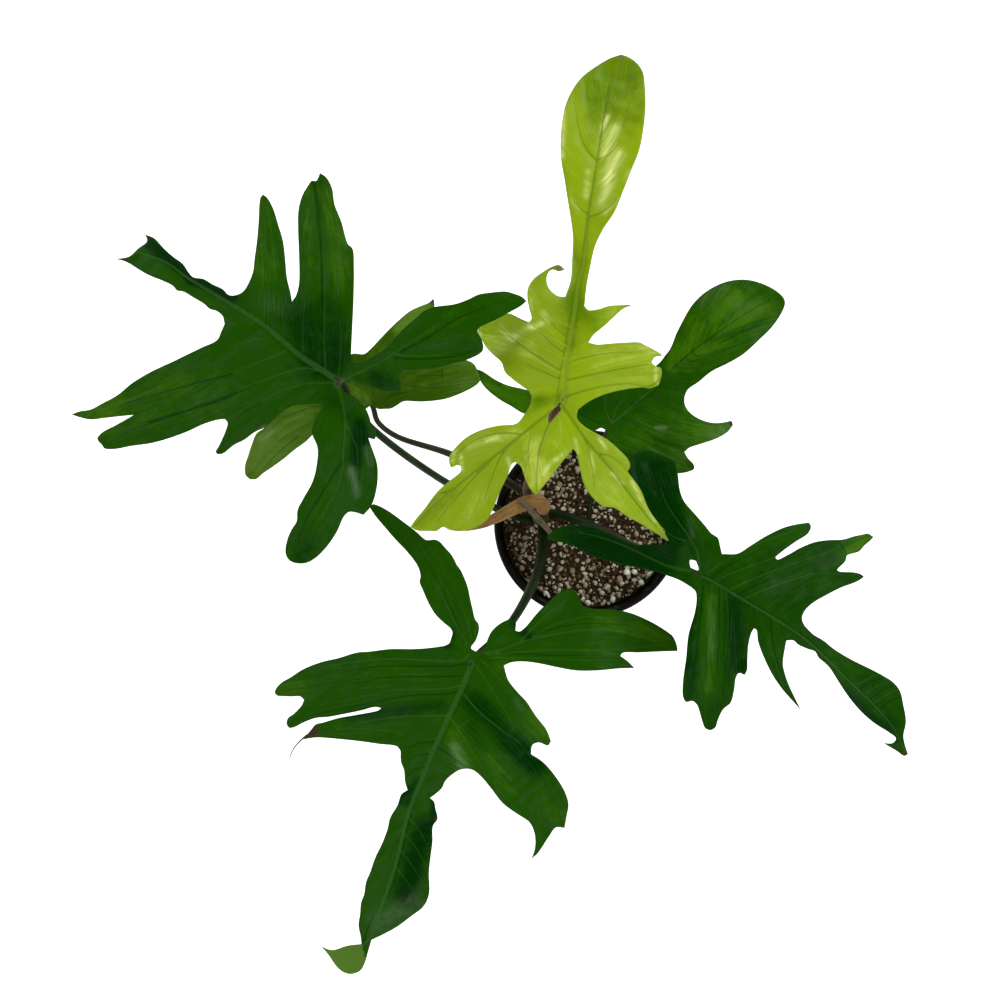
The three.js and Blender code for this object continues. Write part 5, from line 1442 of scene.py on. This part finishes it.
def stalk_material(name, base, dark, end, roughness):
    """Stalk skin: lengthwise streaks, small corky flecks, and a rust-coloured end where it meets the
    blade."""
    material, shade = new_material(name)
    fibre = shade.field("fibre", 1)
    share = shade.field("share")
    streaks = fibre.noise(1600, 3.0, 0.6)
    flecks = shade.place().noise(0.9, 2.0).step(0.6, 0.7)
    clouds = shade.place().noise(9, 2.0)
    colour = streaks.step(0.35, 0.65).mix(dark, base)
    colour = (clouds.step(0.4, 0.7) * 0.35).mix(colour, dark)
    colour = (share.step(0.9, 1.0) * 0.7).mix(colour, end)
    colour = (flecks * 0.35).mix(colour, end)
    relief = streaks * 0.6 + flecks * 0.4
    rough = roughness + (clouds - 0.5) * 0.15
    finish_surface(shade, colour, rough, relief, 0.25, {"Specular IOR Level": 0.12})
    return material


def dry_material(name, light, base, dark, roughness):
    """Dry papery skin: fibres along the piece, dark flecks and worn pale ridges."""
    material, shade = new_material(name)
    fibre = shade.field("fibre", 1)
    fibres = fibre.noise(700, 4.0, 0.7)
    clouds = shade.place().noise(5, 3.0)
    flecks = shade.place().noise(0.8, 3.0).step(0.58, 0.72)
    colour = fibres.step(0.3, 0.7).mix(base, light)
    colour = (clouds.step(0.45, 0.75) * 0.5).mix(colour, dark)
    colour = (flecks * 0.5).mix(colour, dark)
    rough = roughness + (fibres - 0.5) * 0.2
    finish_surface(shade, colour, rough, fibres + flecks * 0.3, 0.5, {"Specular IOR Level": 0.25})
    return material


# Pot and potting mix


def inner_wall_radius(height):
    slope = (RIM_RADIUS - RIM_BAND_STEP - BASE_RADIUS) / (POT_HEIGHT - RIM_BAND_HEIGHT)
    return BASE_RADIUS + slope * height - POT_WALL


def soil_height(places):
    x, y = places.T
    return SOIL_LEVEL + SOIL_WAVE * (np.sin(x / 7 + 1) * np.cos(y / 9) - 0.35 * y / RIM_RADIUS)


def turned(profile, sides):
    """A profile of [radius, height] turned about the Z axis, as rings from its first point to its last."""
    angle = np.linspace(0, 2 * np.pi, sides, endpoint=False)
    profile = np.asarray(profile, float)
    rings = np.empty((len(profile), sides, 3))
    rings[..., 0] = profile[:, :1] * np.cos(angle)
    rings[..., 1] = profile[:, :1] * np.sin(angle)
    rings[..., 2] = profile[:, 1:]
    return rings


def rounded(profile, radius, steps=5):
    """The profile with each inner corner replaced by a curve that starts and ends the radius away from it."""
    profile = np.asarray(profile, float)
    line = [profile[:1]]
    t = np.linspace(0, 1, steps)[:, None]
    for before, corner, after in zip(profile, profile[1:], profile[2:]):
        reach_in = min(radius, 0.45 * np.linalg.norm(before - corner))
        reach_out = min(radius, 0.45 * np.linalg.norm(after - corner))
        start = corner + (before - corner) / np.linalg.norm(before - corner) * reach_in
        end = corner + (after - corner) / np.linalg.norm(after - corner) * reach_out
        line.append((1 - t) ** 2 * start + 2 * t * (1 - t) * corner + t**2 * end)
    line.append(profile[-1:])
    return np.vstack(line)


def pot_profile():
    """The pot's wall as [radius, height]: from the middle of its base up the outside and down the inside."""
    band = POT_HEIGHT - RIM_BAND_HEIGHT
    outer = RIM_RADIUS - RIM_BAND_STEP
    slope = (outer - BASE_RADIUS) / band
    corners = [
        [HUB_RADIUS, BASE_RECESS], [17, BASE_RECESS], [18, 0], [BASE_RADIUS, 0],
        [BASE_RADIUS + slope * FOOT_BAND_TOP, FOOT_BAND_TOP],
        [BASE_RADIUS + slope * FOOT_BAND_EDGE + 0.4, FOOT_BAND_EDGE],
        [outer, band], [RIM_RADIUS - 0.5, band + 0.4], [RIM_RADIUS, POT_HEIGHT - 1],
        [RIM_RADIUS - 0.6, POT_HEIGHT], [inner_wall_radius(POT_HEIGHT) + 0.2, POT_HEIGHT],
        [inner_wall_radius(POT_FLOOR), POT_FLOOR], [HUB_RADIUS, POT_FLOOR],
    ]
    return rounded(corners, WALL_ROUNDING)


def drain_holes():
    """An object of upright cylinders, where the pot's base is cut through."""
    cutters = []
    for angle in np.arange(DRAIN_HOLES) * 2 * np.pi / DRAIN_HOLES:
        middle = [DRAIN_CIRCLE_RADIUS * np.cos(angle), DRAIN_CIRCLE_RADIUS * np.sin(angle), 0]
        cutters.append(skin(turned([[DRAIN_RADIUS, -4], [DRAIN_RADIUS, 6]], 32) + middle))
    count = len(cutters[0][0])
    points = np.vstack([cutter[0] for cutter in cutters]) * METRE
    faces = np.vstack([cutter[1] + i * count for i, cutter in enumerate(cutters)])
    mesh = bpy.data.meshes.new("drain_holes")
    mesh.from_pydata(points.tolist(), [], faces.tolist())
    cutter = bpy.data.objects.new("drain_holes", mesh)
    bpy.context.scene.collection.objects.link(cutter)
    return cutter


def pot(material):
    points, faces = skin(turned(pot_profile(), POT_SIDES))
    piece = new_piece("nursery_pot", points, faces[:, ::-1], material, ["pot"])
    cutter = drain_holes()
    cut = piece.modifiers.new("drain_holes", "BOOLEAN")
    cut.operation = "DIFFERENCE"
    cut.object = cutter
    shaped = bpy.data.meshes.new_from_object(piece.evaluated_get(bpy.context.evaluated_depsgraph_get()))
    piece.modifiers.clear()
    piece.data = shaped
    bpy.data.objects.remove(cutter)


def lumps(places, radii, seed):
    """Many small rounded lumps as one mesh: a low ball for each place, stretched along its own axes, turned,
    and made uneven by a wave in its own direction."""
    random = np.random.default_rng(seed)
    count = len(places)
    profile = np.array([[np.sin(a), -np.cos(a)] for a in np.linspace(0.5, np.pi - 0.5, 4)])
    ball, faces = skin(turned(profile, LUMP_SIDES))
    ball[-2:] = [[0, 0, -1], [0, 0, 1]]
    turns = np.linalg.qr(random.normal(size=(count, 3, 3)))[0]
    turns[np.linalg.det(turns) < 0, :, 0] *= -1
    stretch = random.uniform(0.75, 1.2, (count, 1, 3))
    waves = random.uniform(-3, 3, (count, 3, 3))
    dents = np.sin(np.einsum("vk,nkj->nvj", ball, waves) + random.uniform(0, 6, (count, 1, 3))).sum(2)
    shaped = ball[None] * stretch * (1 + LUMP_DENTS * dents[..., None])
    shaped = np.einsum("nvk,nkj->nvj", shaped, turns)
    shaped[..., 2] *= 1 - LUMP_FLATNESS
    points = shaped * radii[:, None, None] + places[:, None]
    every = (faces[None, ::-1] + np.arange(count)[:, None, None] * len(ball)).reshape(-1, 3)
    return points.reshape(-1, 3), every, np.arange(count).repeat(len(ball))


def scattered(spacing, reach, seed, share, drifts=0.0):
    """Places in rows over a disc, each moved a little at random, of which a share is kept. Drifts make the
    share higher in some patches than in others."""
    random = np.random.default_rng(seed)
    steps = np.arange(-reach, reach, spacing)
    x, y = np.meshgrid(steps, steps)
    x = x + (np.arange(len(steps)) % 2 * spacing / 2)[:, None]
    places = np.column_stack([x.ravel(), y.ravel()])
    places += random.uniform(-SCATTER_JITTER, SCATTER_JITTER, places.shape) * spacing
    wanted = share + drifts * ripple(places, DRIFT_LENGTH, seed)
    kept = (np.hypot(places[:, 0], places[:, 1]) < reach) & (random.random(len(places)) < wanted)
    return places[kept]


def soil_body(edge):
    """The soil without crumbs and grains: a turned body whose top follows the soil's height and relief."""
    foot = POT_FLOOR + SOIL_GAP
    top_radii = edge * (1 - np.linspace(0, 0.99, SOIL_ROWS))
    profile = np.vstack([
        [[HUB_RADIUS, foot], [inner_wall_radius(POT_FLOOR) - 0.4, foot]],
        np.column_stack([top_radii, np.full(SOIL_ROWS, SOIL_LEVEL)]),
    ])
    rings = turned(profile, SOIL_COLUMNS)
    top = rings[2:]
    places = top[..., :2].reshape(-1, 2)
    relief = 0.5 * ripple(places, 3.5, 5) + 0.35 * ripple(places, 1.8, 6)
    top[..., 2] = (soil_height(places) - 0.5 + relief).reshape(SOIL_ROWS, SOIL_COLUMNS)
    points, faces = skin(rings)
    return points, faces[:, ::-1]


def white_places(edge):
    """Where the white grains lie: at their plan places, but not closer to the wall than their own size."""
    white = WHITE_GRAINS[:, :2]
    spots = from_plan(white, np.full(len(white), float(SOIL_LEVEL)))
    distance = np.hypot(spots[:, 0], spots[:, 1])
    spots[:, :2] *= np.minimum(1, (edge - 1.3 * WHITE_GRAINS[:, 2]) / distance)[:, None]
    spots[:, 2] = soil_height(spots[:, :2]) + 0.5
    return spots


def potting_mix(material):
    """The soil with crumbs, bark and pale mineral grains lying in it. The kind field is 0 for soil and CRUMB,
    GRAIN or WHITE for the rest, and the shade field is a value of its own for each crumb or grain."""
    edge = inner_wall_radius(SOIL_LEVEL) - SOIL_GAP
    random = np.random.default_rng(31)
    big = scattered(spacing=4.9, reach=edge - 2.2, seed=11, share=0.5, drifts=0.35)
    big_radii = random.uniform(1.05, 1.85, len(big))
    small = scattered(spacing=2.05, reach=edge - 0.8, seed=12, share=0.62, drifts=0.3)
    small = small[(np.linalg.norm(small[:, None] - big[None], axis=2) > big_radii + 0.5).all(1)]
    small_radii = random.uniform(0.4, 1.2, len(small)) ** 1.15
    crumbs = scattered(spacing=2.0, reach=edge - 0.7, seed=13, share=0.55)
    crumb_radii = random.uniform(0.4, 1.0, len(crumbs))
    bark = scattered(spacing=9, reach=edge - 3, seed=14, share=0.5)
    bark_radii = random.uniform(1.4, 2.4, len(bark))

    lying = []
    for places, radii, kind, lift in (
        (crumbs, crumb_radii, CRUMB, 0.1),
        (bark, bark_radii, CRUMB, 0.1),
        (small, small_radii, GRAIN, 0.35),
        (big, big_radii, GRAIN, 0.2),
    ):
        heights = soil_height(places) - 0.4 + lift * radii
        lying.append((np.column_stack([places, heights]), radii, kind))
    lying.append((white_places(edge), WHITE_GRAINS[:, 2], WHITE))

    points, faces = soil_body(edge)
    every_point, every_face = [points], [faces]
    kinds, shades = [np.zeros(len(points))], [np.zeros(len(points))]
    start = len(points)
    for number, (places, radii, kind) in enumerate(lying):
        points, faces, owner = lumps(places, radii, FIRST_LUMP_SEED + number)
        every_point.append(points)
        every_face.append(faces + start)
        start += len(points)
        kinds.append(np.full(len(points), kind))
        shades.append(random.random(len(places))[owner])
    fields = {"kind": np.concatenate(kinds), "shade": np.concatenate(shades)}
    points, faces = np.vstack(every_point), np.vstack(every_face)
    new_piece("planted_soil", points, faces, material, ["potting_mix"], fields)


def soil_material():
    """Dark fibrous soil, brown crumbs, and pale mineral grains with pits and soil in their hollows."""
    material, shade = new_material("potting_mix")
    kind = shade.field("kind")
    own = shade.field("shade")
    place = shade.place()
    fine = place.noise(0.7, 4.0, 0.65)
    coarse = place.noise(3, 3.0)
    soil = fine.step(0.38, 0.72).mix(linear(14, 8, 5), linear(90, 64, 42))
    soil = (coarse.step(0.5, 0.75) * 0.5).mix(soil, linear(62, 44, 29))
    crumbs = own.mix(linear(40, 26, 16), linear(128, 98, 66))
    crumbs = (fine.step(0.4, 0.7) * 0.6).mix(crumbs, linear(28, 18, 11))
    grains = own.mix(linear(228, 216, 201), linear(148, 127, 106))
    grains = (fine.step(0.45, 0.72) * 0.65).mix(grains, linear(96, 76, 57))
    colour = kind.step(0.4, 0.6).mix(soil, crumbs)
    colour = kind.step(1.4, 1.6).mix(colour, grains)
    colour = kind.step(2.4, 2.6).mix(colour, linear(248, 246, 240))
    relief = fine * 0.7 + place.noise(0.25, 2.0) * 0.3
    finish_surface(shade, colour, 0.9 + (fine - 0.5) * 0.15, relief, 0.5, {"Specular IOR Level": 0.2})
    return material


def pot_material():
    """Black moulded plastic: a fine satin grain, small scuffs and dust that dulls it in places."""
    material, shade = new_material("pot_plastic")
    place = shade.place()
    grain = place.noise(0.35, 2.0)
    dust = place.noise(14, 4.0, 0.6).step(0.45, 0.75)
    scuffs = place.noise(2.5, 4.0, 0.7).step(0.6, 0.75)
    colour = (dust * 0.2 + scuffs * 0.12).mix(linear(6, 5, 5), linear(34, 30, 27))
    finish_surface(shade, colour, 0.38 + dust * 0.2 + scuffs * 0.1, grain, 0.06, {"Specular IOR Level": 0.2})
    return material


# Stage


def floor():
    mesh = bpy.data.meshes.new("floor")
    corners = [(x * FLOOR_REACH, y * FLOOR_REACH, 0) for x, y in ((-1, -1), (1, -1), (1, 1), (-1, 1))]
    mesh.from_pydata(corners, [], [(0, 1, 2, 3)])
    material, shade = new_material("floor")
    surface = shade.node("ShaderNodeBsdfPrincipled", {}, {
        "Base Color": linear(244, 244, 244), "Roughness": 0.9, "Specular IOR Level": 0.1,
        "Emission Color": linear(255, 255, 255), "Emission Strength": 0.75,
    })
    shade.node("ShaderNodeOutputMaterial", {}, {"Surface": surface})
    mesh.materials.append(material)
    piece = bpy.data.objects.new("floor", mesh)
    bpy.context.scene.collection.objects.link(piece)


def soft_light(name, place, size, power):
    """A square lamp, aimed at the middle of the plant."""
    lamp = bpy.data.lights.new(name, "AREA")
    lamp.size = size
    lamp.energy = power
    light = bpy.data.objects.new(name, lamp)
    light.location = place
    away = Vector(place) - Vector(LIGHT_AIM)
    light.rotation_euler = away.to_track_quat("Z", "Y").to_euler()
    bpy.context.scene.collection.objects.link(light)


def stage():
    floor()
    world = bpy.data.worlds.new("studio")
    world.use_nodes = True
    world.node_tree.nodes["Background"].inputs["Color"].default_value = (1, 1, 1, 1)
    world.node_tree.nodes["Background"].inputs["Strength"].default_value = SKY_STRENGTH
    bpy.context.scene.world = world
    for number, (azimuth, power) in enumerate(PANELS):
        turn = np.radians(azimuth)
        place = (PANEL_DISTANCE * np.cos(turn), PANEL_DISTANCE * np.sin(turn), PANEL_HEIGHT)
        soft_light(f"panel_{number}", place, PANEL_SIZE, power)
    camera = bpy.data.cameras.new("camera")
    camera.sensor_width = 36
    camera.lens = CAMERA_LENS
    camera.clip_start = 0.01
    eye = bpy.data.objects.new("camera", camera)
    eye.location = (*(EYE_PLACE * METRE), EYE_HEIGHT * METRE)
    bpy.context.scene.collection.objects.link(eye)
    bpy.context.scene.camera = eye
    bpy.context.scene.view_settings.view_transform = "Standard"


stage()

# In each leaf palette, shine is the colour of painted highlights, and deep and light carry painted shade and
# painted light as well as the leaf's own colour.
DARK_GREEN = {
    "deep": linear(0, 48, 0), "base": linear(30, 80, 0), "light": linear(64, 111, 4),
    "rib": linear(60, 102, 42), "pale": linear(68, 114, 46), "dark": linear(4, 46, 2),
    "margin": linear(42, 66, 36), "painted_highlight": linear(172, 190, 164), "brown": linear(66, 54, 36),
    "under": linear(92, 130, 44),
}
MID_GREEN = {
    "deep": linear(34, 72, 0), "base": linear(60, 98, 4), "light": linear(98, 136, 38),
    "rib": linear(84, 120, 46), "pale": linear(128, 156, 86), "dark": linear(36, 68, 8),
    "margin": linear(110, 140, 70), "painted_highlight": linear(190, 206, 160), "brown": linear(76, 64, 44),
    "under": linear(110, 146, 80),
}
LIME_GREEN = {
    "deep": linear(92, 130, 0), "base": linear(148, 177, 18), "light": linear(202, 220, 86),
    "rib": linear(130, 156, 44), "pale": linear(186, 204, 84), "dark": linear(96, 126, 4),
    "margin": linear(150, 166, 80), "painted_highlight": linear(238, 248, 150), "brown": linear(122, 120, 74),
    "under": linear(176, 200, 90),
}
dark_leaf = leaf_material("leaf_green", DARK_GREEN, 0.3, 0.04, 0.1)
mid_leaf = leaf_material("leaf_mid_green", MID_GREEN, 0.34, 0.05, 0.1)
lime_leaf = leaf_material("leaf_lime", LIME_GREEN, 0.3, 0.1, 0.08)
LEAVES = {
    "upper_left": (UPPER_LEFT, dark_leaf, "leaf_green"),
    "under_left": (UNDER_LEFT, mid_leaf, "leaf_mid_green"),
    "lime": (NEW_LIME, lime_leaf, "leaf_lime"),
    "back_right": (BACK_RIGHT, dark_leaf, "leaf_green"),
    "right": (RIGHT, dark_leaf, "leaf_green"),
    "front": (FRONT, dark_leaf, "leaf_green"),
}
green_stalk = stalk_material("stalk_green", linear(36, 54, 8), linear(12, 28, 4), linear(66, 58, 34), 0.5)
brown_green_stalk = stalk_material(
    "stalk_brown_green", linear(58, 58, 28), linear(32, 34, 16), linear(84, 62, 38), 0.5,
)
brown_stalk = stalk_material("stalk_brown", linear(108, 78, 50), linear(70, 48, 30), linear(84, 54, 34), 0.6)
STALK_FINISH = {
    "under_left": (brown_green_stalk, "stalk_brown_green"),
    "lime": (brown_stalk, "stalk_brown"),
}
for number, (name, (leaf, material, slot)) in enumerate(LEAVES.items()):
    blade(name, leaf, LOOKS[name], material, FIRST_BLADE_SEED + number)
    points, faces, fields = tube(stalk_path(STALKS[name], leaf), STALKS[name]["radius"], STALK_SIDES)
    finish, stalk_slot = STALK_FINISH.get(name, (green_stalk, "stalk_green"))
    new_piece(f"{name}_leaf_stalk", points, faces, finish, [f"{name}_stalk"], fields)

stem_place = from_plan(np.array([STEM_PLAN]), np.array([float(STEM_TOP)]))[0]
stem_line = np.column_stack([np.full((30, 2), stem_place[:2]), np.linspace(STEM_FOOT, STEM_TOP, 30)])
stem_radii = STEM_RADIUS * np.array([1, 1, 1, 1, 1, 0.99, 0.97, 0.92, 0.85])
points, faces, fields = tube(stem_line, stem_radii, 48, ridges=0.03, ridge_count=9)
new_piece("main_stem", points, faces, green_stalk, ["stem"], fields)

points, faces, fields = tube(plan_path(DRY_SHEATH), DRY_SHEATH["radius"], 48, ridges=0.09, ridge_count=7)
orange = dry_material("dry_orange", linear(178, 134, 80), linear(146, 106, 60), linear(96, 66, 38), 0.75)
new_piece("curled_sheath", points, faces, orange, ["dry_sheath"], fields)

points, faces, fields = tube(plan_path(DRY_STRIP), DRY_STRIP["radius"], 32, flatness=0.4, ridges=0.12)
grey = dry_material("dry_grey", linear(134, 116, 98), linear(104, 88, 72), linear(62, 50, 40), 0.85)
new_piece("wrapped_strip", points, faces, grey, ["dry_strip"], fields)

points, faces, fields = tube(plan_path(DRY_WHISKER), DRY_WHISKER["radius"], 10)
new_piece("dry_whisker", points, faces, grey, (), fields)

pot(pot_material())
potting_mix(soil_material())
